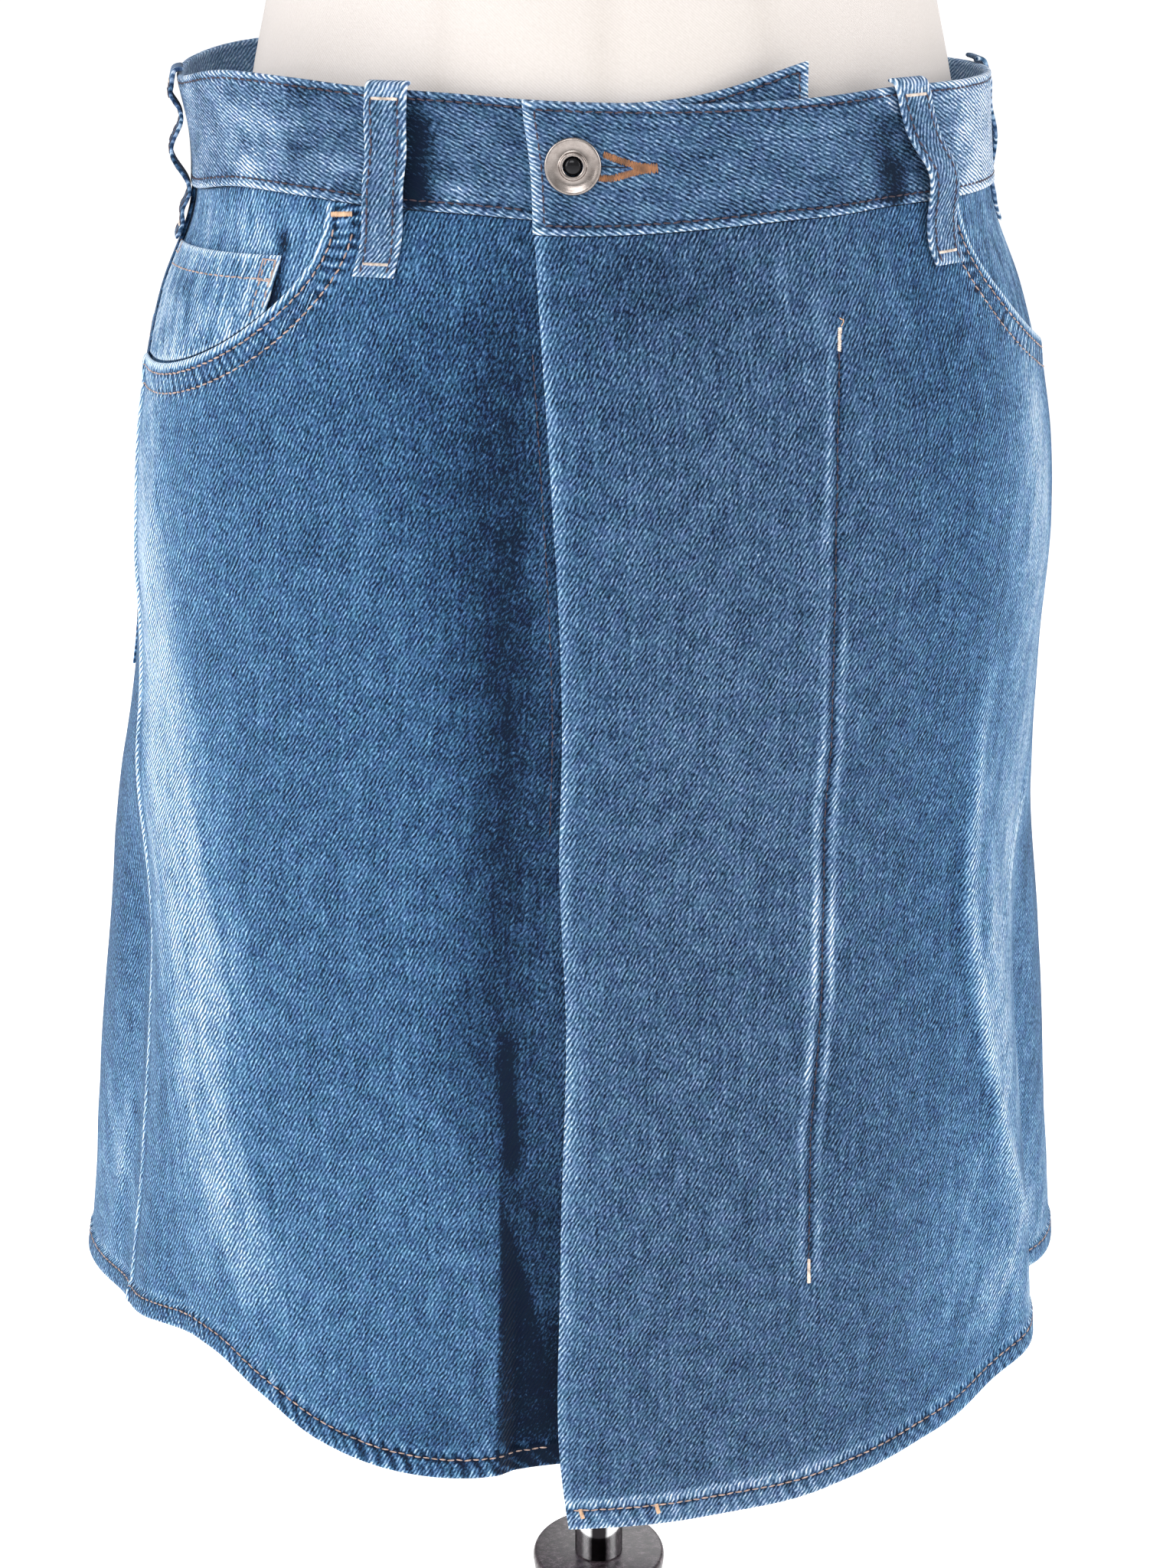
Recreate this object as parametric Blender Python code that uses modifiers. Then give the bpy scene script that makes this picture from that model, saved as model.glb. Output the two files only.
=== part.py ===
# A wrap-front denim skirt on a limbless dress form with its pole, post and round base.
# Metres, +Z up, origin on the floor under the pole. The front faces -Y, and +X is on its viewer's right.
# The cloth follows one surface, skirt_point(), which reads an angle round the garment and a depth under the
# top of the waistband. Angles are in degrees from the garment's own centre front, positive towards +X.
import math
from collections import namedtuple

import bmesh
import bpy
import numpy as np
from mathutils import Vector

for leftover in list(bpy.data.objects):
    bpy.data.objects.remove(leftover, do_unlink=True)

# ---------------------------------------------------------------- driving sizes
WAIST_TOP = 1.030  # height of the waistband's top edge at the front
TURN = 11.0  # degrees that the skirt is turned round on the form, towards +X
SQUARE = 0.03  # how far the plan is squared off from an ellipse
SEAM_GAP = 0.0003  # between two pieces that are sewn or laid together

CLOTH = 0.0015  # one layer of denim
HEM_CLOTH = 0.0026  # the hem, folded up twice
BAND_CLOTH = 0.0028  # the waistband, folded over its turnings
POCKET_CLOTH = 0.0012  # back pockets and coin pocket
BAND_DEPTH = 0.0405  # depth of the waistband's lower edge
HEM_FOLD = 0.0105  # height of the hem's fold

OVER_EDGE = -18.0  # free edge of the over panel and of its tab
UNDER_EDGE = 16.7  # free edge of the under panel and of its tab
MOUTH_START = 45.8  # where the pocket mouths leave the waistband
SIDE_SEAM = 90.0
BACK_SEAM = 180.0
MOUTH_DEPTH = 0.104  # depth at which a pocket mouth reaches the side seam
MOUTH_POWER = 2.2  # roundness of the scooped mouth
FACING_UNDERLAP = 0.014  # the facing runs this far under the front panel

TAB_RISE = 0.0120  # the under tab climbs this far above the over tab
TAB_STARTS = -6.0  # from this angle on
OVER_DROP = 0.0045  # the over tab's lower corner hangs this much lower
OVER_DROP_TURN = 34.0  # and its lower edge is level again this far on
LAP_TOP = 0.0018  # the over panel's inner face outside the skirt surface at the waist
LAP_HEM = 0.0030  # and at the hem
BAND_LAP = BAND_CLOTH + SEAM_GAP  # the over tab lies on the under tab
LAP_STARTS = UNDER_EDGE + 1.0  # past the under edge the over pieces come back to the skirt's surface,
LAP_TURN = 12.0  # over this many degrees
SEAT = 0.00065  # panels come out this far to meet the middle of the band
SEAT_FADE = 0.05
MOUTH_LIP = 0.0010  # the pocket mouths gape this much
MOUTH_LIP_TURN = 6.0  # in full this many degrees from the mouth's start
MOUTH_LIP_DEPTH = 0.012  # and gone this far below the edge

RECESS_ANGLE = -18.3  # the under panel folds back behind the over panel from here
RECESS_TURN = 1.8
RECESS_BACK = (-4.0, 14.0)  # and comes forward again between these angles
RECESS_STARTS = 0.33
RECESS = 0.008

POLE_RADIUS = 0.011
POST_TOP = 0.365
POST_RADIUS = 0.0295
BASE_RADIUS = 0.234
BASE_HEIGHT = 0.030

# Half sizes of the skirt's plan at each depth: side to side, to the front and to the back, and its shift in X.
Level = namedtuple("Level", "depth side front back shift")
SKIRT_LEVELS = [
    Level(-0.020, 0.1505, 0.1100, 0.1080, -0.0070),
    Level(0.000, 0.1500, 0.1100, 0.1080, -0.0065),
    Level(0.022, 0.1490, 0.1100, 0.1088, -0.0040),
    Level(0.045, 0.1510, 0.1115, 0.1100, -0.0030),
    Level(0.080, 0.1650, 0.1145, 0.1160, -0.0030),
    Level(0.120, 0.1750, 0.1190, 0.1240, -0.0025),
    Level(0.170, 0.1800, 0.1245, 0.1300, -0.0030),
    Level(0.220, 0.1800, 0.1280, 0.1320, -0.0050),
    Level(0.280, 0.1850, 0.1330, 0.1350, -0.0100),
    Level(0.350, 0.1915, 0.1390, 0.1390, -0.0105),
    Level(0.440, 0.1985, 0.1455, 0.1440, -0.0105),
    Level(0.560, 0.2075, 0.1525, 0.1500, -0.0125),
]

# How much higher than level the waistband rides at each angle.
Lift = namedtuple("Lift", "angle rise")
BAND_LIFTS = [
    Lift(-180, 0.0), Lift(-135, 0.0035), Lift(-108, 0.0015), Lift(-88, 0.0), Lift(-62, 0.0070),
    Lift(-50, 0.0065), Lift(-38, 0.0045), Lift(-26, 0.0030), Lift(-17, 0.0012), Lift(0, 0.0), Lift(14, 0.0008),
    Lift(32, 0.0028), Lift(50, 0.0022), Lift(70, 0.0008), Lift(90, -0.0008), Lift(135, -0.0035), Lift(180, 0.0),
]

# The over panel's free edge hangs straight, so it moves round the flaring skirt as it goes down. The left side
# seam swings forward under the hip in the same way.
Line = namedtuple("Line", "depth angle")
OVER_LINE = [
    Line(0.040, -18.0), Line(0.090, -16.4), Line(0.130, -15.5), Line(0.180, -14.4), Line(0.250, -13.1),
    Line(0.320, -11.8), Line(0.430, -12.3), Line(0.520, -12.0), Line(0.560, -10.6),
]
OVER_LINE_REACH = 50.0  # the over panel follows its edge less and less up to this far from it
SEAM_LINE = [
    Line(0.110, -90.0), Line(0.180, -87.0), Line(0.250, -80.0), Line(0.300, -75.0), Line(0.360, -73.5),
    Line(0.430, -74.0), Line(0.540, -78.0),
]
SEAM_LINE_REACH = 46.0

# Depth of the hem at each angle round the garment, for the panels that lie underneath and for the over panel.
Hem = namedtuple("Hem", "angle depth")
HEM_UNDER = [
    Hem(-180, 0.522), Hem(-135, 0.515), Hem(-100, 0.501), Hem(-70, 0.489), Hem(-59, 0.487), Hem(-50, 0.490),
    Hem(-44, 0.499), Hem(-37, 0.514), Hem(-30, 0.5245), Hem(-21, 0.527), Hem(-14, 0.522), Hem(20, 0.520),
]
HEM_OVER = [
    Hem(-18, 0.5470), Hem(-8, 0.5450), Hem(0, 0.5420), Hem(10, 0.5385), Hem(18, 0.5330), Hem(26, 0.5285),
    Hem(35, 0.5225), Hem(44, 0.5125), Hem(52, 0.5060), Hem(66, 0.5030), Hem(90, 0.5060), Hem(135, 0.518),
    Hem(180, 0.522),
]

# Soft folds: each begins at one depth, is full at another, wanders from one angle to the other on its way down,
# and stands out (or sinks in, below zero) by its rise where it is full and by its hem rise at the hem.
Fold = namedtuple("Fold", "starts full angle hem_angle width rise hem_rise")
FOLDS = [
    Fold(0.20, 0.50, -64, -41, 9, 0.0040, 0.0080),
    Fold(0.24, 0.48, -76, -59, 8, -0.0030, -0.0070),
    Fold(0.25, 0.34, -78, -79, 8, -0.0095, -0.0030),
    Fold(0.24, 0.46, -104, -101, 12, 0.0070, 0.0100),
    Fold(0.20, 0.34, 40, 50, 6, 0.0045, 0.0070),
    Fold(0.24, 0.40, 58, 64, 6, -0.0090, -0.0130),
    Fold(0.22, 0.44, 80, 82, 10, 0.0040, 0.0080),
    Fold(0.26, 0.50, 110, 108, 9, -0.0040, -0.0060),
    Fold(0.24, 0.48, 129, 132, 9, 0.0045, 0.0075),
    Fold(0.28, 0.52, 154, 155, 10, -0.0040, -0.0065),
    Fold(0.24, 0.50, 180, 176, 11, 0.0035, 0.0060),
    Fold(0.30, 0.52, -154, -156, 9, -0.0045, -0.0060),
    Fold(0.26, 0.50, -130, -131, 9, 0.0040, 0.0065),
]
HEM_LEVEL = 0.55  # depth at which a fold has its hem rise

# The dress form's half sizes at each height over the waistband's top.
Section = namedtuple("Section", "height side front back")
FORM_SECTIONS = [
    Section(-0.300, 0.148, 0.098, 0.104),
    Section(-0.250, 0.154, 0.103, 0.112),
    Section(-0.170, 0.158, 0.108, 0.118),
    Section(-0.100, 0.151, 0.1085, 0.114),
    Section(-0.045, 0.140, 0.1088, 0.1078),
    Section(0.000, 0.131, 0.1090, 0.1070),
    Section(0.040, 0.122, 0.1000, 0.0960),
    Section(0.085, 0.116, 0.0930, 0.0880),
    Section(0.150, 0.121, 0.0970, 0.0900),
    Section(0.220, 0.134, 0.1130, 0.0960),
    Section(0.262, 0.142, 0.1200, 0.0990),
    Section(0.300, 0.155, 0.1140, 0.1010),
    Section(0.340, 0.170, 0.0980, 0.0980),
    Section(0.378, 0.176, 0.0800, 0.0860),
    Section(0.402, 0.160, 0.0660, 0.0740),
    Section(0.422, 0.112, 0.0560, 0.0640),
    Section(0.440, 0.074, 0.0520, 0.0580),
    Section(0.465, 0.058, 0.0490, 0.0540),
    Section(0.500, 0.053, 0.0470, 0.0510),
]
ARM_PLATE = 0.157  # half the width across the flat plates where the arms would be

# ---------------------------------------------------------------- finishes: colour, roughness, metallic
FINISHES = {
    "denim": ((0.12, 0.23, 0.38), 0.90, 0.0),
    "button_metal": ((0.62, 0.60, 0.57), 0.30, 1.0),
    "form_cloth": ((0.86, 0.83, 0.78), 0.85, 0.0),
    "chrome": ((0.80, 0.80, 0.82), 0.12, 1.0),
    "dark_wood": ((0.035, 0.022, 0.018), 0.35, 0.0),
}


def make_finish(name):
    colour, roughness, metallic = FINISHES[name]
    material = bpy.data.materials.new(name)
    material.use_nodes = True
    shader = material.node_tree.nodes["Principled BSDF"]
    shader.inputs["Base Color"].default_value = (*colour, 1.0)
    shader.inputs["Roughness"].default_value = roughness
    shader.inputs["Metallic"].default_value = metallic
    return material


finishes = {name: make_finish(name) for name in FINISHES}
collection = bpy.data.collections.new("denim_skirt_on_dress_form")
bpy.context.scene.collection.children.link(collection)


def keep(piece, name, finish):
    """Names a new object, gives it its finish and moves it into the skirt's collection."""
    piece.name = name
    piece.data.name = name
    piece.data.materials.clear()
    piece.data.materials.append(finishes[finish])
    for holder in list(piece.users_collection):
        holder.objects.unlink(piece)
    collection.objects.link(piece)
    return piece


# ---------------------------------------------------------------- the skirt's surface
def ease(value):
    """Runs smoothly from 0 to 1 as the value does."""
    part = np.clip(value, 0.0, 1.0)
    return part * part * (3.0 - 2.0 * part)


def through(rows, place_column, column, place):
    """Reads a column of a table at any place, on a smooth curve through its rows."""
    places = np.array([getattr(row, place_column) for row in rows], dtype=float)
    values = np.array([getattr(row, column) for row in rows], dtype=float)
    slopes = np.gradient(values, places)
    place = np.clip(place, places[0], places[-1])
    index = np.clip(np.searchsorted(places, place, side="right") - 1, 0, len(places) - 2)
    span = places[index + 1] - places[index]
    part = (place - places[index]) / span
    leaving = (1 - ease(part)) * values[index] + (part**3 - 2 * part**2 + part) * span * slopes[index]
    reaching = ease(part) * values[index + 1] + (part**3 - part**2) * span * slopes[index + 1]
    return leaving + reaching


def fold_rise(angle, depth):
    """How far the soft folds stand out at this place."""
    rise = np.zeros(np.broadcast(angle, depth).shape)
    for fold in FOLDS:
        way_down = ease((depth - fold.starts) / (fold.full - fold.starts))
        to_hem = np.clip((depth - fold.full) / (HEM_LEVEL - fold.full), 0.0, 1.0)
        wander = ease((depth - fold.starts) / (HEM_LEVEL - fold.starts))
        middle = fold.angle + (fold.hem_angle - fold.angle) * wander
        away = (angle - middle + 180.0) % 360.0 - 180.0
        height = fold.rise + (fold.hem_rise - fold.rise) * to_hem
        rise = rise + way_down * height * np.exp(-((away / fold.width) ** 2))
    return rise


def seam_swing(angle, depth):
    """How far round the left side seam has swung here, dying away before and behind it."""
    swing = through(SEAM_LINE, "depth", "angle", depth) + SIDE_SEAM
    return swing * (1.0 - ease(np.abs(angle + SIDE_SEAM) / SEAM_LINE_REACH))


def skirt_point(angle, depth, out=0.0):
    """Points of the skirt's surface, moved out along the plan's normal."""
    angle = angle + seam_swing(angle, depth)
    turned = np.radians(angle + TURN)
    side = through(SKIRT_LEVELS, "depth", "side", depth)
    front = through(SKIRT_LEVELS, "depth", "front", depth)
    back = through(SKIRT_LEVELS, "depth", "back", depth)
    shift = through(SKIRT_LEVELS, "depth", "shift", depth)
    reach = np.where(np.cos(turned) >= 0.0, front, back)
    across = side * (np.sin(turned) + SQUARE * np.sin(3 * turned)) / (1 - SQUARE)
    along = -reach * (np.cos(turned) - SQUARE * np.cos(3 * turned)) / (1 - SQUARE)
    normal_x = reach * np.sin(turned)
    normal_y = -side * np.cos(turned)
    length = np.hypot(normal_x, normal_y)
    out = out + fold_rise(angle, depth)
    x = shift + across + out * normal_x / length
    y = along + out * normal_y / length
    z = WAIST_TOP - depth
    return np.stack(np.broadcast_arrays(x, y, z), axis=-1)


def skirt_normal(angle, depth):
    outer = skirt_point(np.array(angle), np.array(depth), 0.01)
    inner = skirt_point(np.array(angle), np.array(depth), 0.0)
    return Vector((outer - inner).tolist()).normalized()


# ---------------------------------------------------------------- where the pieces end
def tab_rise(angle, over):
    """The under tab climbs towards its end, out from behind the over tab."""
    way = np.clip((angle - TAB_STARTS) / (UNDER_EDGE - TAB_STARTS), 0.0, 1.0)
    return 0.0 if over else TAB_RISE * way * (0.35 + 0.65 * ease(way))


def band_top(angle, over):
    """Depth of the waistband's top edge."""
    return -through(BAND_LIFTS, "angle", "rise", angle) - tab_rise(angle, over)


def band_bottom(angle, over):
    """Depth of the waistband's lower edge, which hangs lower at the over tab's corner."""
    drop = OVER_DROP * (1.0 - ease((angle - OVER_EDGE) / OVER_DROP_TURN)) if over else 0.0
    return BAND_DEPTH + drop - through(BAND_LIFTS, "angle", "rise", angle) - tab_rise(angle, over)


def mouth(angle, over):
    """Depth of the scooped pocket mouth, which stays at the waistband in front of the pocket."""
    way = np.clip((np.abs(angle) - MOUTH_START) / (SIDE_SEAM - MOUTH_START), 0.0, 1.0)
    scoop = (1.0 - (1.0 - way) ** MOUTH_POWER) ** (1.0 / MOUTH_POWER)
    band = band_bottom(angle, over) + SEAM_GAP
    return band + (MOUTH_DEPTH - band) * scoop


def hem_depth(angle, over):
    return through(HEM_OVER if over else HEM_UNDER, "angle", "depth", angle)


def seat(depth):
    """Every panel comes out to the middle of the band on its way up to it."""
    return SEAT * (1.0 - ease((depth - BAND_DEPTH) / SEAT_FADE))


def lip(angle, depth, over):
    """The pocket mouth gapes along its edge."""
    along_mouth = ease((np.abs(angle) - MOUTH_START) / MOUTH_LIP_TURN)
    return MOUTH_LIP * along_mouth * (1.0 - ease((depth - mouth(angle, over)) / MOUTH_LIP_DEPTH))


def under_recess(angle, depth):
    way_in = ease((angle - RECESS_ANGLE) / RECESS_TURN)
    way_out = 1.0 - ease((angle - RECESS_BACK[0]) / (RECESS_BACK[1] - RECESS_BACK[0]))
    return -RECESS * way_in * way_out * ease((depth - RECESS_STARTS) / (HEM_LEVEL - RECESS_STARTS))


def over_lap(angle, depth):
    """The over panel lies outside the under panel until it is past the under panel's edge."""
    on_top = 1.0 - ease((angle - LAP_STARTS) / LAP_TURN)
    height = LAP_TOP + (LAP_HEM - LAP_TOP) * ease(depth / HEM_LEVEL)
    at_band = (BAND_LAP - LAP_TOP) * (1.0 - ease((depth - BAND_DEPTH) / SEAT_FADE))
    return (height + at_band) * on_top


# ---------------------------------------------------------------- walls of cloth
FRONT_STEP = 4.4  # degrees between a wall's stations in front and on the bands
BACK_STEP = 5.0  # and behind


def stations(start, stop, step, extra=()):
    """Angles or shares from start to stop, about a step apart, with extra ones between."""
    count = max(1, round(abs(stop - start) / step))
    regular = np.linspace(start, stop, count + 1)
    wanted = [one for one in extra if min(start, stop) < one < max(start, stop)]
    kept = [one for one in regular[1:-1] if all(abs(one - other) > 0.45 * step for other in wanted)]
    return np.array(sorted([start, *kept, *wanted, stop]))


def cloth_wall(name, angles, rows, place, thickness, hem_rows=0, ways=None):
    """A grid whose points place(angle, rows) lays on the skirt's surface, extruded outwards into a closed wall.

    place gives the angle, the depth and how far out the inner face lies. Rows run from top to bottom, and the
    outer points of the last hem_rows rows stand out as the thicker hem. ways has, for each row, how far in depth
    and outwards its outer point lies for each metre of thickness."""
    if ways is None:
        ways = np.array([(0.0, 1.0)] * len(rows))
    bpy.ops.mesh.primitive_grid_add(x_subdivisions=len(angles) - 1, y_subdivisions=len(rows) - 1, size=1.0)
    piece = bpy.context.object
    wall = bmesh.new()
    wall.from_mesh(piece.data)
    inner = wall.verts[:]
    extruded = bmesh.ops.extrude_face_region(wall, geom=wall.faces[:], use_keep_orig=True)
    outer = [part for part in extruded["geom"] if isinstance(part, bmesh.types.BMVert)]
    for side, points in ((0.0, inner), (1.0, outer)):
        columns = [round((point.co.x + 0.5) * (len(angles) - 1)) for point in points]
        steps = [round((0.5 - point.co.y) * (len(rows) - 1)) for point in points]
        angle, depth, out = place(angles[columns], [rows[step] for step in steps])
        is_hem = np.array(steps) >= len(rows) - hem_rows
        thick = side * np.where(is_hem, HEM_CLOTH, thickness)
        laid = skirt_point(angle, depth + thick * ways[steps, 0], out + thick * ways[steps, 1])
        for point, spot in zip(points, laid.tolist()):
            point.co = spot
    bmesh.ops.recalc_face_normals(wall, faces=wall.faces[:])
    wall.to_mesh(piece.data)
    wall.free()
    piece.data.shade_smooth()
    piece.data.set_sharp_from_angle(angle=math.radians(40))
    return keep(piece, name, "denim")


# A panel's rows: a share of the way from its top edge to its hem, and a distance added to that.
PANEL_ROWS = (
    [(0.0, 0.0), (0.0, 0.007), (0.0, 0.015), (0.0, 0.026)]
    + [(share, 0.0) for share in np.linspace(0.09, 0.955, 16)]
    + [(1.0, -HEM_FOLD - 0.0006), (1.0, -HEM_FOLD + 0.0006), (1.0, 0.0)]
)


# Closer stations where the pocket mouth leaves the waistband.
MOUTH_STATIONS = [MOUTH_START + step for step in (-1.5, 0.0, 0.5, 1.4, 2.8, 5.0, 8.0, 12.0)]


def panel_depths(top, bottom, rows):
    shares = np.array([row[0] for row in rows])
    added = np.array([row[1] for row in rows])
    return top + (bottom - top) * shares + added


def make_front(name, start, stop, over, extra):
    signed = MOUTH_STATIONS if over else [-one for one in MOUTH_STATIONS]
    angles = stations(start, stop, FRONT_STEP, [*extra, *signed])

    def place(angle, rows):
        depth = panel_depths(mouth(angle, over), hem_depth(angle, over), rows)
        out = seat(depth) + lip(angle, depth, over)
        if not over:
            return angle, depth, out + under_recess(angle, depth)
        drift = through(OVER_LINE, "depth", "angle", depth) - OVER_EDGE
        angle = angle + drift * (1.0 - ease((angle - OVER_EDGE) / OVER_LINE_REACH))
        return angle, depth, out + over_lap(angle, depth)

    return cloth_wall(name, angles, PANEL_ROWS, place, CLOTH, hem_rows=2)


def make_back(name, start, stop, over):
    def place(angle, rows):
        top = band_bottom(angle, over) + SEAM_GAP
        depth = panel_depths(top, hem_depth(angle, over), rows)
        return angle, depth, seat(depth)

    return cloth_wall(name, stations(start, stop, BACK_STEP), PANEL_ROWS, place, CLOTH, hem_rows=2)


def make_band(name, start, stop, over):
    extra = [LAP_STARTS, LAP_STARTS + LAP_TURN, OVER_EDGE]

    def place(angle, rows):
        top = band_top(angle, over)
        depth = panel_depths(top, band_bottom(angle, over), rows)
        lap = BAND_LAP * (1.0 - ease((angle - LAP_STARTS) / LAP_TURN)) if over else 0.0
        return angle, depth, lap

    rows = [(0.0, 0.0), (0.33, 0.0), (0.67, 0.0), (1.0, 0.0)]
    return cloth_wall(name, stations(start, stop, FRONT_STEP, extra), rows, place, BAND_CLOTH)


SIDE_GAP = 0.05  # degrees that each panel stays from a seam line, half the seam gap
make_front("front_under", -SIDE_SEAM + SIDE_GAP, UNDER_EDGE, False, [-20.5, -18.3, -17.4, -16.5, -14.0])
make_front("front_over", OVER_EDGE, SIDE_SEAM - SIDE_GAP, True, [LAP_STARTS])
make_back("back_left", -BACK_SEAM + SIDE_GAP, -SIDE_SEAM - SIDE_GAP, False)
make_back("back_right", SIDE_SEAM + SIDE_GAP, BACK_SEAM - SIDE_GAP, True)
make_band("waistband_under", -BACK_SEAM + SIDE_GAP, UNDER_EDGE, False)
make_band("waistband_over", OVER_EDGE, BACK_SEAM - SIDE_GAP, True)


# ---------------------------------------------------------------- pockets
FACING_OUT = -CLOTH - SEAM_GAP  # the facing's inner face, inside the skirt's surface
FACING_SIDE_LAP = 3.0  # degrees that it runs on in front of the mouth


def make_facing(name, over):
    """The denim that shows inside a pocket mouth, from the side seam to a little under the front panel."""
    near = MOUTH_START - FACING_SIDE_LAP
    sides = (near, SIDE_SEAM - SIDE_GAP) if over else (-SIDE_SEAM + SIDE_GAP, -near)
    extra = MOUTH_STATIONS if over else [-one for one in MOUTH_STATIONS]

    def place(angle, rows):
        top = band_bottom(angle, over) + SEAM_GAP
        depth = panel_depths(top, mouth(angle, over) + FACING_UNDERLAP, rows)
        return angle, depth, FACING_OUT + seat(depth)

    rows = [(share, 0.0) for share in np.linspace(0.0, 1.0, 7)]
    return cloth_wall(name, stations(*sides, FRONT_STEP, extra), rows, place, CLOTH)


make_facing("pocket_facing_left", False)
make_facing("pocket_facing_right", True)

COIN_SIDE = 53.0  # the coin pocket runs from the side seam to this angle
COIN_END = 1.0  # degrees that it stops short of the seam
COIN_TOP = 0.0555  # depth of its top edge there
COIN_SLOPE = 0.0055  # and that much lower at the side seam
COIN_GAP = 0.0008  # it ends this far above the pocket mouth


def place_coin_pocket(angle, rows):
    slope = (np.abs(angle) - COIN_SIDE) / (SIDE_SEAM - COIN_SIDE)
    depth = panel_depths(COIN_TOP + COIN_SLOPE * slope, mouth(angle, False) - COIN_GAP, rows)
    return angle, depth, seat(depth)


coin_rows = [(share, 0.0) for share in np.linspace(0.0, 1.0, 4)]
coin_stations = stations(-SIDE_SEAM + COIN_END, -COIN_SIDE, FRONT_STEP)
cloth_wall("coin_pocket", coin_stations, coin_rows, place_coin_pocket, POCKET_CLOTH)

POCKET_NEAR = 103.0  # a back pocket's edge by the side seam
POCKET_FAR = 157.0  # and its edge by the centre back
POCKET_TOP = 0.095
POCKET_BOTTOM = 0.236  # depth of its lower corners
POCKET_POINT = 0.018  # the middle of its lower edge is this much lower
POCKET_TAPER = 0.08  # share of its width that it loses on the way down
POCKET_LIFT = 0.0005  # it lies this far off the panel, whose facets it crosses


def make_back_pocket(name, mirror):
    middle = (POCKET_NEAR + POCKET_FAR) / 2
    half = (POCKET_FAR - POCKET_NEAR) / 2

    def place(angle, rows):
        aside = np.abs(np.abs(angle) - middle) / half
        bottom = POCKET_BOTTOM + POCKET_POINT * (1.0 - aside)
        depth = panel_depths(POCKET_TOP, bottom, rows)
        taper = 1.0 - POCKET_TAPER * ease((depth - POCKET_TOP) / (POCKET_BOTTOM - POCKET_TOP))
        return mirror * (middle + (np.abs(angle) - middle) * taper), depth, CLOTH + POCKET_LIFT + seat(depth)

    sides = sorted((mirror * POCKET_NEAR, mirror * POCKET_FAR))
    rows = [(share, 0.0) for share in np.linspace(0.0, 1.0, 8)]
    return cloth_wall(name, stations(*sides, BACK_STEP), rows, place, POCKET_CLOTH)


make_back_pocket("back_pocket_left", -1)
make_back_pocket("back_pocket_right", 1)

# ---------------------------------------------------------------- belt loops
LOOP_WIDTH = 0.0155
LOOP_CLOTH = 0.0016
LOOP_END = 0.0600  # depth of a loop's lower end
SWAY_DEPTH = 0.029  # where a loop bows furthest to one side
SWAY_REACH = 0.011
# A loop's inner face, from its end on the band's top edge down to its lower tack: how far it stands off the
# skirt's surface, how much of its slack it takes up there, and its depth, measured from the band's top edge or not.
Bend = namedtuple("Bend", "out slack depth from_top")
LOOP_BENDS = [
    Bend(0.0003, 0.0, -0.0012, True),
    Bend(0.0018, 0.0, -0.0012, True),
    Bend(0.0030, 0.0, -0.0008, True),
    Bend(0.0034, 0.1, 0.0008, True),
    Bend(0.0034, 0.55, 0.0060, False),
    Bend(0.0034, 0.95, 0.0170, False),
    Bend(0.0034, 1.0, 0.0280, False),
    Bend(0.0034, 0.75, 0.0380, False),
    Bend(0.0031, 0.3, 0.0460, False),
    Bend(0.0026, 0.0, 0.0525, False),
    Bend(0.0026, 0.0, LOOP_END, False),
]


def make_loop(name, angle, lean, sway, slack, over):
    top = float(band_top(np.array(angle), over))
    metres_per_degree = float(np.linalg.norm(skirt_point(angle + 0.5, 0.02) - skirt_point(angle - 0.5, 0.02)))
    half = LOOP_WIDTH / 2 / metres_per_degree
    line = np.array([(bend.depth + bend.from_top * top, bend.out + bend.slack * slack) for bend in LOOP_BENDS])
    along = np.gradient(line, axis=0)
    along = along / np.linalg.norm(along, axis=1, keepdims=True)
    ways = np.stack([-along[:, 1], along[:, 0]], axis=1)

    def place(across, rows):
        depth, out = line[rows].T
        bow = sway * np.exp(-(((depth - SWAY_DEPTH) / SWAY_REACH) ** 2))
        return angle + across + lean * depth / LOOP_END + bow, depth, out

    rows = list(range(len(LOOP_BENDS)))
    return cloth_wall(name, np.array([-half, 0.0, half]), rows, place, LOOP_CLOTH, ways=ways)


# Degrees at its upper end, that it leans to its lower end and that it bows between; then its slack.
Loop = namedtuple("Loop", "name angle lean sway slack over")
LOOPS = [
    Loop("belt_loop_front_left", -35.1, -2.3, 0.0, 0.0020, False),
    Loop("belt_loop_front_right", 34.0, 5.0, 2.8, 0.0028, True),
    Loop("belt_loop_side_left", -92.0, 0.5, 0.0, 0.0034, False),
    Loop("belt_loop_side_right", 88.0, 0.0, 0.0, 0.0026, True),
    Loop("belt_loop_back", 180.0, 0.0, 0.0, 0.0020, True),
]
for loop in LOOPS:
    make_loop(*loop)


# ---------------------------------------------------------------- turned pieces
def make_turned(name, profile, finish, steps, place=(0.0, 0.0, 0.0), axis=None):
    """Turns a profile of (radius, height) points, listed from the top down its outer side."""
    mesh = bpy.data.meshes.new(name)
    points = [(radius, 0.0, height) for radius, height in profile]
    edges = [(one, one + 1) for one in range(len(points) - 1)]
    if profile[0][0] > 0.0:
        edges.append((len(points) - 1, 0))
    mesh.from_pydata(points, edges, [])
    piece = bpy.data.objects.new(name, mesh)
    collection.objects.link(piece)
    piece.location = place
    if axis is not None:
        piece.rotation_euler = axis.to_track_quat("Z", "Y").to_euler()
    screw = piece.modifiers.new("turn", "SCREW")
    screw.steps = steps
    screw.render_steps = steps
    screw.use_merge_vertices = True
    screw.merge_threshold = 0.00001
    return keep(piece, name, finish)


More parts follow.
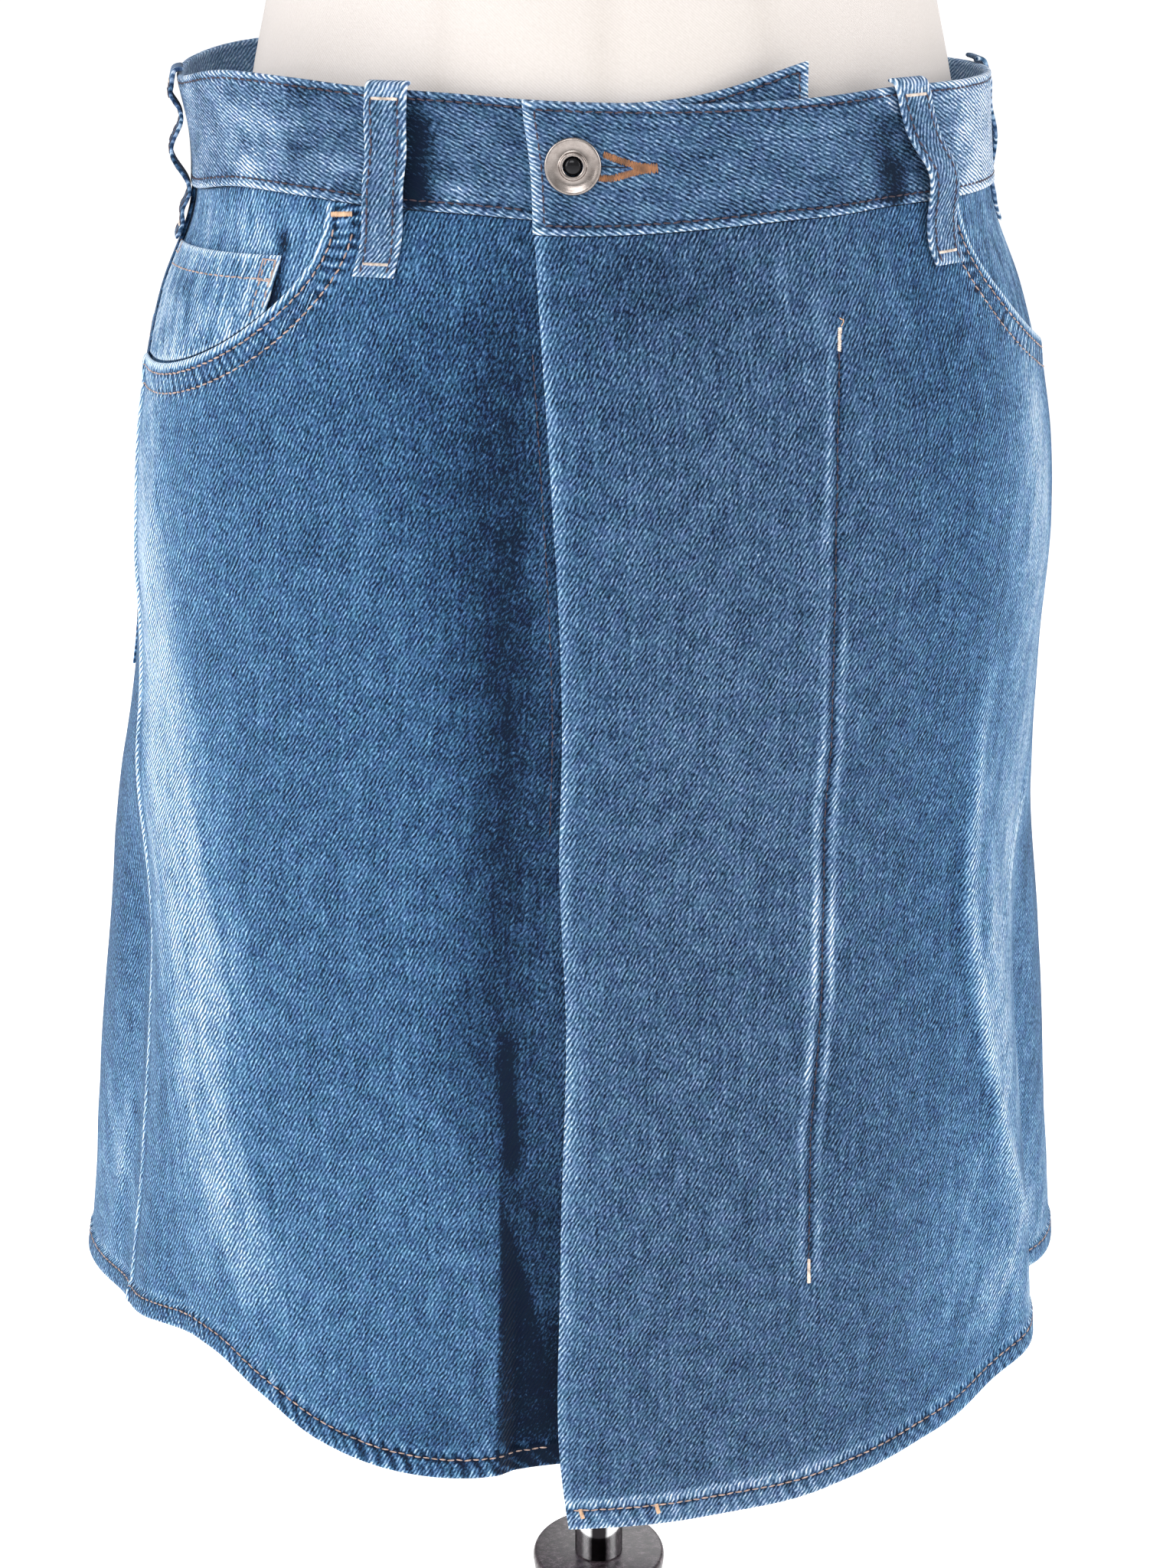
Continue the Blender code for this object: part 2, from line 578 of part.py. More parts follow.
# The shank button goes through the over tab: a dished ring with raised rims round a domed centre.
BUTTON_ANGLE = -13.0
BUTTON_DEPTH = 0.0202
BUTTON_RADIUS = 0.0098
BUTTON_HOLE = 0.0035
STUD_RADIUS = BUTTON_HOLE - 0.0003
BUTTON_SEAT = BAND_LAP + BAND_CLOTH + SEAM_GAP + 0.0002

RING_PROFILE = [
    (BUTTON_HOLE, 0.0018), (BUTTON_HOLE + 0.0005, 0.0021), (BUTTON_HOLE + 0.0011, 0.0019),
    (BUTTON_HOLE + 0.0016, 0.0013), (0.0075, 0.0015), (0.0086, 0.0020), (0.0093, 0.0021),
    (BUTTON_RADIUS, 0.0015), (BUTTON_RADIUS - 0.0002, 0.0007), (0.0086, 0.0), (BUTTON_HOLE, 0.0),
]
STUD_PROFILE = [
    (0.0, 0.0021), (0.0014, 0.0019), (0.0024, 0.0014), (STUD_RADIUS, 0.0006), (STUD_RADIUS, 0.0), (0.0, 0.0),
]
button_axis = skirt_normal(BUTTON_ANGLE, BUTTON_DEPTH)
button_place = Vector(skirt_point(np.array(BUTTON_ANGLE), np.array(BUTTON_DEPTH), BUTTON_SEAT).tolist())
make_turned("button_ring", RING_PROFILE, "button_metal", 28, button_place, button_axis)
make_turned("button_stud", STUD_PROFILE, "button_metal", 16, button_place, button_axis)

# ---------------------------------------------------------------- the dress form and its stand
FORM_BOTTOM = WAIST_TOP + FORM_SECTIONS[0].height


def make_form():
    """A sphere's rings laid on the form's sections, its poles in the middle of the flat ends."""
    around = 36
    rings = 28
    mesh = bpy.data.meshes.new("form_body")
    ball = bmesh.new()
    bmesh.ops.create_uvsphere(ball, u_segments=around, v_segments=rings, radius=1.0)
    lowest = FORM_SECTIONS[0].height
    heights = np.linspace(lowest, FORM_SECTIONS[-1].height, rings - 1)
    for point in ball.verts:
        ring = round((math.asin(max(-1.0, min(1.0, point.co.z))) / math.pi + 0.5) * rings)
        height = heights[min(max(ring - 1, 0), rings - 2)]
        if ring in (0, rings):
            point.co = (0.0, 0.0, WAIST_TOP + height)
            continue
        angle = math.atan2(point.co.x, -point.co.y)
        side = float(through(FORM_SECTIONS, "height", "side", height))
        reach = float(through(FORM_SECTIONS, "height", "front" if math.cos(angle) >= 0 else "back", height))
        x = side * math.sin(angle)
        point.co = (max(-ARM_PLATE, min(ARM_PLATE, x)), -reach * math.cos(angle), WAIST_TOP + height)
    ball.to_mesh(mesh)
    ball.free()
    mesh.shade_smooth()
    mesh.set_sharp_from_angle(angle=math.radians(50))
    piece = bpy.data.objects.new("form_body", mesh)
    collection.objects.link(piece)
    return keep(piece, "form_body", "form_cloth")


make_form()

pole_low = POST_TOP + SEAM_GAP
pole_high = FORM_BOTTOM - SEAM_GAP
bpy.ops.mesh.primitive_cylinder_add(
    vertices=32, radius=POLE_RADIUS, depth=pole_high - pole_low, location=(0.0, 0.0, (pole_high + pole_low) / 2)
)
keep(bpy.context.object, "stand_pole", "chrome")

post_foot = BASE_HEIGHT + SEAM_GAP
POST_PROFILE = [
    (0.0, POST_TOP), (POST_RADIUS - 0.002, POST_TOP), (POST_RADIUS, POST_TOP - 0.002),
    (POST_RADIUS, POST_TOP - 0.034), (POST_RADIUS - 0.003, POST_TOP - 0.038), (0.019, POST_TOP - 0.050),
    (0.018, POST_TOP - 0.100), (0.021, POST_TOP - 0.200), (0.024, post_foot + 0.050),
    (0.030, post_foot + 0.020), (0.042, post_foot + 0.006), (0.046, post_foot), (0.0, post_foot),
]
make_turned("stand_post", POST_PROFILE, "dark_wood", 32)

BASE_PROFILE = [
    (0.0, BASE_HEIGHT), (0.075, BASE_HEIGHT), (0.205, BASE_HEIGHT - 0.008), (0.224, BASE_HEIGHT - 0.013),
    (BASE_RADIUS - 0.002, BASE_HEIGHT - 0.020), (BASE_RADIUS, 0.006), (BASE_RADIUS - 0.002, 0.0), (0.0, 0.0),
]
make_turned("stand_base", BASE_PROFILE, "dark_wood", 48)
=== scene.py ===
# A denim wrap skirt on a dress form: the looks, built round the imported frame.
import math

import bpy
import numpy as np
from mathutils import Matrix, Vector
from mathutils.bvhtree import BVHTree


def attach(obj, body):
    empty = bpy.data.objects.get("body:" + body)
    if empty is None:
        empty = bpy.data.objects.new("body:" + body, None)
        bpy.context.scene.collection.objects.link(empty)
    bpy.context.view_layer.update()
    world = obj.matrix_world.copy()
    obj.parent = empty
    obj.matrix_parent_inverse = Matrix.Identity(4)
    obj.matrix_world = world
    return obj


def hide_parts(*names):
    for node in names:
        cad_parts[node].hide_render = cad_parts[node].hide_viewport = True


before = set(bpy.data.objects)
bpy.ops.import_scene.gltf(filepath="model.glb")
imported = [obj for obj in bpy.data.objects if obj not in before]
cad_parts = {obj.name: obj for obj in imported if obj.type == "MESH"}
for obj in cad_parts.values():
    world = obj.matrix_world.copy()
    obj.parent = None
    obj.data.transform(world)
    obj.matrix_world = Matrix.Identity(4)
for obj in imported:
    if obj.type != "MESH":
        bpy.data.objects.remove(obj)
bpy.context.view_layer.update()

# ---- the camera and the studio
studio = {
    "cameraPlace": (-0.005, -1.07, 1.15),
    "cameraPitch": 21.0,  # degrees below level
    "cameraReach": 200.0,
    "lens": 63.28,
    "sensor": 36.0,
    "floorSide": 60.0,
    "floorColor": (0.92, 0.92, 0.92),
    "floorRoughness": 0.8,
    "floorGlow": 0.62,
    "worldColor": (1.0, 1.0, 1.0),
    "worldStrength": 0.50,
    "lights": {  # place, aim, width, height, power
        "leftSoftbox": ((-1.9, -0.9, 1.7), (0.0, 0.0, 0.85), 1.2, 1.8, 27.0),
        "rightSoftbox": ((2.0, -0.7, 1.6), (0.0, 0.0, 0.85), 1.1, 1.7, 22.0),
        "frontTop": ((-0.5, -2.3, 2.5), (0.0, 0.0, 0.85), 1.4, 1.0, 20.0),
        "behind": ((0.4, 2.4, 2.1), (0.0, 0.0, 0.9), 1.6, 1.4, 24.0),
    },
}


def aimAt(thing, target):
    thing.rotation_euler = (Vector(target) - thing.location).to_track_quat("-Z", "Y").to_euler()


def makeCamera():
    bpy.ops.object.camera_add(location=studio["cameraPlace"])
    camera = bpy.context.object
    camera.name = "camera"
    camera.rotation_euler = (math.radians(90.0 - studio["cameraPitch"]), 0.0, 0.0)
    camera.data.lens = studio["lens"]
    camera.data.sensor_width = studio["sensor"]
    camera.data.clip_end = studio["cameraReach"]
    bpy.context.scene.camera = camera


def makeLights():
    for name, (place, target, width, height, power) in studio["lights"].items():
        bpy.ops.object.light_add(type="AREA", location=place)
        light = bpy.context.object
        light.name = name
        light.data.shape = "RECTANGLE"
        light.data.size = width
        light.data.size_y = height
        light.data.energy = power
        aimAt(light, target)
    world = bpy.data.worlds.new("studioAir")
    world.use_nodes = True
    air = world.node_tree.nodes["Background"]
    air.inputs["Color"].default_value = (*studio["worldColor"], 1.0)
    air.inputs["Strength"].default_value = studio["worldStrength"]
    bpy.context.scene.world = world


bpy.context.scene.view_settings.view_transform = "Standard"
bpy.context.scene.view_settings.look = "None"
makeCamera()
makeLights()
print("camera and lights placed")

# ---- the garment's measures, the same as the frame's
garment = {
    "waistTop": 1.030,
    "turn": 11.0,  # the skirt is turned round on the form
    "square": 0.03,  # how far its plan is squared off
    "gap": 0.0003,
    "cloth": 0.0015,
    "hemCloth": 0.0026,
    "bandCloth": 0.0028,
    "pocketCloth": 0.0012,
    "bandDepth": 0.0405,
    "hemFold": 0.0105,
    "overEdge": -18.0,
    "underEdge": 16.7,
    "mouthStart": 45.8,
    "mouthDepth": 0.104,
    "mouthPower": 2.2,
    "tabRise": 0.0120,
    "tabStarts": -6.0,
    "tabEvenly": 0.35,  # share of the tab's rise that comes in evenly along it
    "overDrop": 0.0045,
    "overDropTurn": 34.0,
    "lapTop": 0.0018,
    "lapHem": 0.0030,
    "lapTurn": 12.0,
    "seat": 0.00065,
    "seatFade": 0.05,
    "lip": 0.0010,
    "lipTurn": 6.0,
    "lipDepth": 0.012,
    "hemLevel": 0.55,
    "sideSeam": 90.0,
    "sideGap": -0.02,  # degrees that a panel stays from a seam, a little less than none where it is sewn
}
garment["bandLap"] = garment["bandCloth"] + garment["gap"]
garment["lapStarts"] = garment["underEdge"] + 1.0
# where the under panel folds back behind the over panel's free edge, and how far its hem hangs there
recess = {"angle": -18.3, "turn": 1.8, "back": (-4.0, 14.0), "starts": 0.33, "depth": 0.008, "hangs": 0.0035}

# depth, half width, reach to the front, reach to the back, shift in X
skirtLevels = np.array([
    (-0.020, 0.1505, 0.1100, 0.1080, -0.0070), (0.000, 0.1500, 0.1100, 0.1080, -0.0065),
    (0.022, 0.1490, 0.1100, 0.1088, -0.0040), (0.045, 0.1510, 0.1115, 0.1100, -0.0030),
    (0.080, 0.1650, 0.1145, 0.1160, -0.0030), (0.120, 0.1750, 0.1190, 0.1240, -0.0025),
    (0.170, 0.1800, 0.1245, 0.1300, -0.0030), (0.220, 0.1800, 0.1280, 0.1320, -0.0050),
    (0.280, 0.1850, 0.1330, 0.1350, -0.0100), (0.350, 0.1915, 0.1390, 0.1390, -0.0105),
    (0.440, 0.1985, 0.1455, 0.1440, -0.0105), (0.560, 0.2075, 0.1525, 0.1500, -0.0125),
])
# angle, how much higher than level the waistband rides
bandLifts = np.array([
    (-180, 0.0), (-135, 0.0035), (-108, 0.0015), (-88, 0.0), (-62, 0.0070), (-50, 0.0065), (-38, 0.0045),
    (-26, 0.0030), (-17, 0.0012), (0, 0.0), (14, 0.0008), (32, 0.0028), (50, 0.0022), (70, 0.0008),
    (90, -0.0008), (135, -0.0035), (180, 0.0),
])
# depth, angle: the over panel's free edge, and the left side seam
overLine = np.array([
    (0.040, -18.0), (0.090, -16.4), (0.130, -15.5), (0.180, -14.4), (0.250, -13.1), (0.320, -11.8),
    (0.430, -12.3), (0.520, -12.0), (0.560, -10.6),
])
seamLine = np.array([
    (0.110, -90.0), (0.180, -87.0), (0.250, -80.0), (0.300, -75.0), (0.360, -73.5), (0.430, -74.0),
    (0.540, -78.0),
])
overLineReach = 50.0  # degrees over which the cloth beside each line moves with it
seamLineReach = 46.0
# angle, depth of the hem
hemUnder = np.array([
    (-180, 0.522), (-135, 0.515), (-100, 0.501), (-70, 0.489), (-59, 0.487), (-50, 0.490), (-44, 0.499),
    (-37, 0.514), (-30, 0.5245), (-21, 0.527), (-14, 0.522), (20, 0.520),
])
hemOver = np.array([
    (-18, 0.5470), (-8, 0.5450), (0, 0.5420), (10, 0.5385), (18, 0.5330), (26, 0.5285), (35, 0.5225),
    (44, 0.5125), (52, 0.5060), (66, 0.5030), (90, 0.5060), (135, 0.518), (180, 0.522),
])
# starts, full, angle, angle at the hem, width in degrees, rise, rise at the hem
folds = [
    (0.20, 0.50, -64, -41, 9, 0.0040, 0.0080), (0.24, 0.48, -76, -59, 8, -0.0030, -0.0070),
    (0.25, 0.34, -78, -79, 8, -0.0095, -0.0030), (0.24, 0.46, -104, -101, 12, 0.0070, 0.0100),
    (0.20, 0.34, 40, 50, 6, 0.0045, 0.0070), (0.24, 0.40, 58, 64, 6, -0.0090, -0.0130),
    (0.22, 0.44, 80, 82, 10, 0.0040, 0.0080), (0.26, 0.50, 110, 108, 9, -0.0040, -0.0060),
    (0.24, 0.48, 129, 132, 9, 0.0045, 0.0075), (0.28, 0.52, 154, 155, 10, -0.0040, -0.0065),
    (0.24, 0.50, 180, 176, 11, 0.0035, 0.0060), (0.30, 0.52, -154, -156, 9, -0.0045, -0.0060),
    (0.26, 0.50, -130, -131, 9, 0.0040, 0.0065),
]


def ease(value):
    part = np.clip(value, 0.0, 1.0)
    return part * part * (3.0 - 2.0 * part)


def bell(away, width):
    return np.exp(-((away / width) ** 2))


def runLength(points):  # metres along a row of points
    return np.concatenate([[0.0], np.cumsum(np.linalg.norm(np.diff(points, axis=0), axis=1))])


def through(table, place, column=1):  # a smooth curve through a table's rows
    places = table[:, 0]
    values = table[:, column]
    slopes = np.gradient(values, places)
    place = np.clip(place, places[0], places[-1])
    index = np.clip(np.searchsorted(places, place, side="right") - 1, 0, len(places) - 2)
    span = places[index + 1] - places[index]
    part = (place - places[index]) / span
    rest = 1.0 - part
    start = rest**2 * ((1 + 2 * part) * values[index] + part * span * slopes[index])
    end = part**2 * ((3 - 2 * part) * values[index + 1] - rest * span * slopes[index + 1])
    return start + end


def foldRise(angle, depth):
    rise = np.zeros(np.broadcast(angle, depth).shape)
    for starts, full, top, low, width, height, hemHeight in folds:
        wayDown = ease((depth - starts) / (full - starts))
        toHem = np.clip((depth - full) / (garment["hemLevel"] - full), 0.0, 1.0)
        middle = top + (low - top) * ease((depth - starts) / (garment["hemLevel"] - starts))
        away = (angle - middle + 180.0) % 360.0 - 180.0
        rise = rise + wayDown * (height + (hemHeight - height) * toHem) * bell(away, width)
    return rise


def seamSwing(angle, depth):
    swing = through(seamLine, depth) + garment["sideSeam"]
    return swing * (1.0 - ease(np.abs(angle + garment["sideSeam"]) / seamLineReach))


def skirtPoint(angle, depth, out=0.0):  # an angle round the garment and a depth, laid on the skirt's surface
    angle = np.asarray(angle, dtype=float)
    depth = np.asarray(depth, dtype=float)
    angle = angle + seamSwing(angle, depth)
    turned = np.radians(angle + garment["turn"])
    side, front, back, shift = (through(skirtLevels, depth, column) for column in (1, 2, 3, 4))
    reach = np.where(np.cos(turned) >= 0.0, front, back)
    square = garment["square"]
    across = side * (np.sin(turned) + square * np.sin(3 * turned)) / (1 - square)
    along = -reach * (np.cos(turned) - square * np.cos(3 * turned)) / (1 - square)
    normalX = reach * np.sin(turned)
    normalY = -side * np.cos(turned)
    length = np.hypot(normalX, normalY)
    out = out + foldRise(angle, depth)
    x = shift + across + out * normalX / length
    y = along + out * normalY / length
    return np.stack(np.broadcast_arrays(x, y, garment["waistTop"] - depth), axis=-1)


def tabRise(angle, over):
    if over:
        return np.zeros(np.shape(angle))
    way = np.clip((angle - garment["tabStarts"]) / (garment["underEdge"] - garment["tabStarts"]), 0.0, 1.0)
    evenly = garment["tabEvenly"]
    return garment["tabRise"] * way * (evenly + (1.0 - evenly) * ease(way))


def bandTop(angle, over):
    return -through(bandLifts, angle) - tabRise(angle, over)


def bandBottom(angle, over):
    drop = garment["overDrop"] * (1.0 - ease((angle - garment["overEdge"]) / garment["overDropTurn"]))
    return bandTop(angle, over) + garment["bandDepth"] + (drop if over else 0.0)


def panelTop(angle, over):
    return bandBottom(angle, over) + garment["gap"]


def mouthDepth(angle, over):
    power = garment["mouthPower"]
    toSeam = (np.abs(angle) - garment["mouthStart"]) / (garment["sideSeam"] - garment["mouthStart"])
    scoop = (1.0 - (1.0 - np.clip(toSeam, 0.0, 1.0)) ** power) ** (1.0 / power)
    band = panelTop(angle, over)
    return band + (garment["mouthDepth"] - band) * scoop


def hemDepth(angle, over):
    if over:
        return through(hemOver, angle)
    return through(hemUnder, angle) + recess["hangs"] * ease((angle - recess["angle"]) / recess["turn"])


def belowBand(depth):  # 1 beside the waistband, running out to 0 below it
    return 1.0 - ease((depth - garment["bandDepth"]) / garment["seatFade"])


def seatOut(depth):
    return garment["seat"] * belowBand(depth)


def lipOut(angle, depth, over):
    alongMouth = ease((np.abs(angle) - garment["mouthStart"]) / garment["lipTurn"])
    return garment["lip"] * alongMouth * (1.0 - ease((depth - mouthDepth(angle, over)) / garment["lipDepth"]))


def recessOut(angle, depth):
    wayIn = ease((angle - recess["angle"]) / recess["turn"])
    wayOut = 1.0 - ease((angle - recess["back"][0]) / (recess["back"][1] - recess["back"][0]))
    down = ease((depth - recess["starts"]) / (garment["hemLevel"] - recess["starts"]))
    return -recess["depth"] * wayIn * wayOut * down


def onTop(angle):  # 1 where an over piece lies on the under one, running out to 0 past its edge
    return 1.0 - ease((angle - garment["lapStarts"]) / garment["lapTurn"])


def lapOut(angle, depth):
    height = garment["lapTop"] + (garment["lapHem"] - garment["lapTop"]) * ease(depth / garment["hemLevel"])
    return (height + (garment["bandLap"] - garment["lapTop"]) * belowBand(depth)) * onTop(angle)


def softNoise(x, y, seed=0.0):  # smooth value noise from -1 to 1
    x, y = np.broadcast_arrays(np.asarray(x, dtype=float), np.asarray(y, dtype=float))
    cellX = np.floor(x)
    cellY = np.floor(y)
    partX = ease(x - cellX)
    partY = ease(y - cellY)

    def corner(dx, dy):  # scrambles a cell's corner and the seed into a value of its own
        value = np.sin((cellX + dx) * 127.1 + (cellY + dy) * 311.7 + seed * 74.7) * 43758.5453
        return (value - np.floor(value)) * 2.0 - 1.0

    low = corner(0, 0) * (1 - partX) + corner(1, 0) * partX
    high = corner(0, 1) * (1 - partX) + corner(1, 1) * partX
    return low * (1 - partY) + high * partY


def acrossAt(angle, depth, samples=36):  # metres round the skirt from the centre front
    angle = np.asarray(angle, dtype=float)
    share = np.linspace(0.0, 1.0, samples)
    line = skirtPoint(angle[..., None] * share, np.asarray(depth, dtype=float)[..., None] + 0.0 * share)
    steps = np.linalg.norm(np.diff(line[..., :2], axis=-2), axis=-1)
    return np.sign(angle) * steps.sum(axis=-1)


degreeOfCloth = {"atWaist": 0.00232, "growth": 0.0017, "average": 0.0024}  # metres, about


def perDegree(depth):
    return degreeOfCloth["atWaist"] + degreeOfCloth["growth"] * np.clip(depth, 0.0, garment["hemLevel"])


# ---- finishes
def linear(red, green, blue):
    values = [part / 255.0 for part in (red, green, blue)]
    return tuple(part / 12.92 if part <= 0.04045 else ((part + 0.055) / 1.055) ** 2.4 for part in values)


def newMaterial(name, color, roughness, metallic=0.0):
    material = bpy.data.materials.new(name)
    material.use_nodes = True
    shader = material.node_tree.nodes["Principled BSDF"]
    shader.inputs["Base Color"].default_value = (*color, 1.0)
    shader.inputs["Roughness"].default_value = roughness
    shader.inputs["Metallic"].default_value = metallic
    return material, shader


def setInput(material, node, name, value):
    if isinstance(value, bpy.types.NodeSocket):
        material.node_tree.links.new(value, node.inputs[name])
    else:
        node.inputs[name].default_value = value


def addNode(material, kind, *values, **named):
    node = material.node_tree.nodes.new(kind)
    for name, value in [*enumerate(values), *named.items()]:
        setInput(material, node, name, value)
    return node


def mathNode(material, operation, *values):
    node = addNode(material, "ShaderNodeMath", *values)
    node.operation = operation
    return node.outputs[0]


def addSwing(material, source, share, value):  # adds a pattern's swing about its middle
    return mathNode(material, "MULTIPLY_ADD", mathNode(material, "SUBTRACT", source, 0.5), share, value)


def rampNode(material, factor, stops):
    node = addNode(material, "ShaderNodeValToRGB", factor)
    elements = node.color_ramp.elements
    while len(elements) < len(stops):
        elements.new(0.5)
    for element, (place, color) in zip(elements, stops):
        element.position = place
        element.color = (*color, 1.0)
    return node.outputs["Color"]


def noiseNode(material, vector, scale, detail=2.0, roughness=0.5):
    node = addNode(
        material, "ShaderNodeTexNoise", Vector=vector, Scale=scale, Detail=detail, Roughness=roughness
    )
    return node.outputs["Fac"]


def stretched(material, place, scale):
    return addNode(material, "ShaderNodeMapping", Vector=place, Scale=scale).outputs["Vector"]


def objectPlace(material):
    return addNode(material, "ShaderNodeTexCoord").outputs["Object"]


def clothPlace(material):
    node = addNode(material, "ShaderNodeUVMap")
    node.uv_map = "cloth"
    return node.outputs["UV"]


def pointNumber(material, name):  # a number that the mesh holds at each point
    node = addNode(material, "ShaderNodeAttribute")
    node.attribute_name = name
    return node.outputs["Fac"]


def bumpInto(material, shader, height, strength, distance):
    node = addNode(material, "ShaderNodeBump", Height=height, Strength=strength, Distance=distance)
    setInput(material, shader, "Normal", node.outputs["Normal"])


def setSheen(shader, finish):
    shader.inputs["Specular IOR Level"].default_value = finish["specular"]
    shader.inputs["Sheen Weight"].default_value = finish["sheen"]


denim = {
    "plain": (0.1, 0.2, 0.35),
    "roughness": 0.88,
    "specular": 0.18,
    "sheen": 0.08,
    "sheenRoughness": 0.45,
    "wale": 0.00137,  # metres from one diagonal rib to the next
    "slant": 61.0,  # degrees of the ribs
    "wobble": 240.0,  # how finely the ribs waver, per metre, as are the next scales
    "stops": [  # tone, color
        (0.0, linear(0, 20, 42)), (0.2, linear(43, 72, 105)), (0.4, linear(86, 117, 152)),
        (0.6, linear(130, 160, 194)), (0.8, linear(184, 206, 230)), (1.0, linear(240, 245, 250)),
    ],
    "base": 0.252,
    "rib": 0.165,
    "ribBroken": 1.8,
    "bead": 0.56,
    "beadSize": (640.0, 1250.0),  # along and across a rib
    "streak": 0.16,
    "streakSize": (600.0, 30.0, 1.0),
    "mottle": 0.16,
    "mottleSize": 110.0,
    "slub": 1.7,
    "slubSize": 850.0,
    "slubFrom": 0.66,
    "wearAndShade": 0.42,
    "wornRib": 0.20,
    "hue": 0.05,
    "hueSize": 180.0,
    "teal": (0.79, 1.03, 1.12),  # the bluer cast of the cloth toward the sides
    "bump": (0.5, 0.00024),
    "beadBump": 1.4,
    "insidePaler": 0.14,
    "insideContrast": 0.75,
}


def makeDenim(name, base, contrast):
    material, shader = newMaterial(name, denim["plain"], denim["roughness"])
    setSheen(shader, denim)
    shader.inputs["Sheen Roughness"].default_value = denim["sheenRoughness"]
    where = clothPlace(material)
    wearAndShadeValue = pointNumber(material, "wearAndShade")

    # metres along the diagonal ribs and across them
    split = addNode(material, "ShaderNodeSeparateXYZ", where)
    slant = math.radians(denim["slant"])
    across = mathNode(material, "MULTIPLY", split.outputs[0], math.sin(slant))
    across = mathNode(material, "MULTIPLY_ADD", split.outputs[1], -math.cos(slant), across)
    along = mathNode(material, "MULTIPLY", split.outputs[0], math.cos(slant))
    along = mathNode(material, "MULTIPLY_ADD", split.outputs[1], math.sin(slant), along)

    # the ribs waver a little and are broken into beads
    wobble = noiseNode(material, where, denim["wobble"], 1.0)
    ribPlace = mathNode(material, "MULTIPLY_ADD", across, 1.0 / denim["wale"], wobble)
    rib = mathNode(material, "SINE", mathNode(material, "MULTIPLY", ribPlace, 2.0 * math.pi))
    beadAlong, beadAcross = denim["beadSize"]
    beadPlace = addNode(
        material,
        "ShaderNodeCombineXYZ",
        mathNode(material, "MULTIPLY", along, beadAlong),
        mathNode(material, "MULTIPLY", across, beadAcross),
    )
    bead = noiseNode(material, beadPlace.outputs[0], 1.0, 2.0, 0.6)
    broken = mathNode(material, "MULTIPLY_ADD", bead, denim["ribBroken"], 1.0 - denim["ribBroken"] * 0.5)
    strength = mathNode(material, "MULTIPLY_ADD", wearAndShadeValue, denim["wornRib"], denim["rib"] * contrast)
    strength = mathNode(material, "MULTIPLY", strength, broken)
    value = mathNode(material, "MULTIPLY_ADD", rib, strength, base)

    # uneven upright yarns, cloudy washing, pale slubs, and each point's wear with its painted shade and light
    streak = noiseNode(material, stretched(material, where, denim["streakSize"]), 1.0, 3.0, 0.6)
    mottle = noiseNode(material, where, denim["mottleSize"], 4.0, 0.6)
    for source, share in ((bead, "bead"), (streak, "streak"), (mottle, "mottle")):
        value = addSwing(material, source, denim[share] * contrast * 2.0, value)
    slub = mathNode(
        material, "SUBTRACT", noiseNode(material, where, denim["slubSize"], 1.0), denim["slubFrom"]
    )
    value = mathNode(
        material, "MULTIPLY_ADD", mathNode(material, "MAXIMUM", slub, 0.0), denim["slub"], value
    )
    # each point's number holds wear together with painted shadow and painted side light
    value = mathNode(material, "MULTIPLY_ADD", wearAndShadeValue, denim["wearAndShade"], value)

    tint = noiseNode(material, where, denim["hueSize"])
    hue = mathNode(material, "MULTIPLY_ADD", tint, denim["hue"], 0.5 - denim["hue"] / 2)
    color = rampNode(material, value, denim["stops"])
    shifted = addNode(material, "ShaderNodeHueSaturation", Color=color, Hue=hue)
    tinted = addNode(material, "ShaderNodeMix")
    tinted.data_type = "RGBA"
    tinted.blend_type = "MULTIPLY"
    # a color mix has its factor and its two colors at these places
    setInput(material, tinted, 0, pointNumber(material, "teal"))
    setInput(material, tinted, 6, shifted.outputs["Color"])
    setInput(material, tinted, 7, (*denim["teal"], 1.0))
    setInput(material, shader, "Base Color", tinted.outputs[2])
    height = mathNode(material, "MULTIPLY_ADD", bead, denim["beadBump"], rib)
    bumpInto(material, shader, height, *denim["bump"])
    return material


threads = {  # color, roughness
    "threadTan": (linear(194, 166, 154), 0.62),
    "threadBrown": (linear(74, 60, 70), 0.7),
    "threadPeach": (linear(226, 186, 152), 0.6),
    "threadOrange": (linear(152, 104, 70), 0.6),
    "threadPale": (linear(238, 218, 204), 0.6),
    # the slit's dark thread is painted shade inside the buttonhole
    "slitShadeThread": (linear(24, 36, 58), 0.9),
}
threadLook = {"tintSize": 340.0, "dark": 0.52, "light": 1.22, "twistSize": 900.0, "bump": (0.3, 0.0001)}


def makeThread(name):
    color, roughness = threads[name]
    material, shader = newMaterial(name, color, roughness)
    place = objectPlace(material)
    tint = noiseNode(material, place, threadLook["tintSize"])
    dark = tuple(part * threadLook["dark"] for part in color)
    light = tuple(min(1.0, part * threadLook["light"]) for part in color)
    setInput(material, shader, "Base Color", rampNode(material, tint, [(0.3, dark), (0.66, light)]))
    twist = addNode(
        material, "ShaderNodeTexWave", Vector=place, Scale=threadLook["twistSize"], Distortion=2.0
    )
    bumpInto(material, shader, twist.outputs["Fac"], *threadLook["bump"])
    return material


# plain color and roughness, which the pattern replaces
nickel = {
    "plain": (linear(160, 151, 146), 0.30),
    "tones": [(0.2, linear(136, 126, 121)), (0.8, linear(184, 175, 170))],
    "cloudSize": 300.0,
    "scratchSize": (500.0, 500.0, 3200.0),
    "roughness": (0.24, 0.14),  # added by the scratches, and the least
    "bump": (0.22, 0.00008),
}
darkStud = {"plain": ((0.012, 0.012, 0.014), 0.16, 0.6), "smearSize": 600.0, "roughness": (0.16, 0.06)}


def roughBy(material, shader, source, roughness):
    setInput(material, shader, "Roughness", mathNode(material, "MULTIPLY_ADD", source, *roughness))


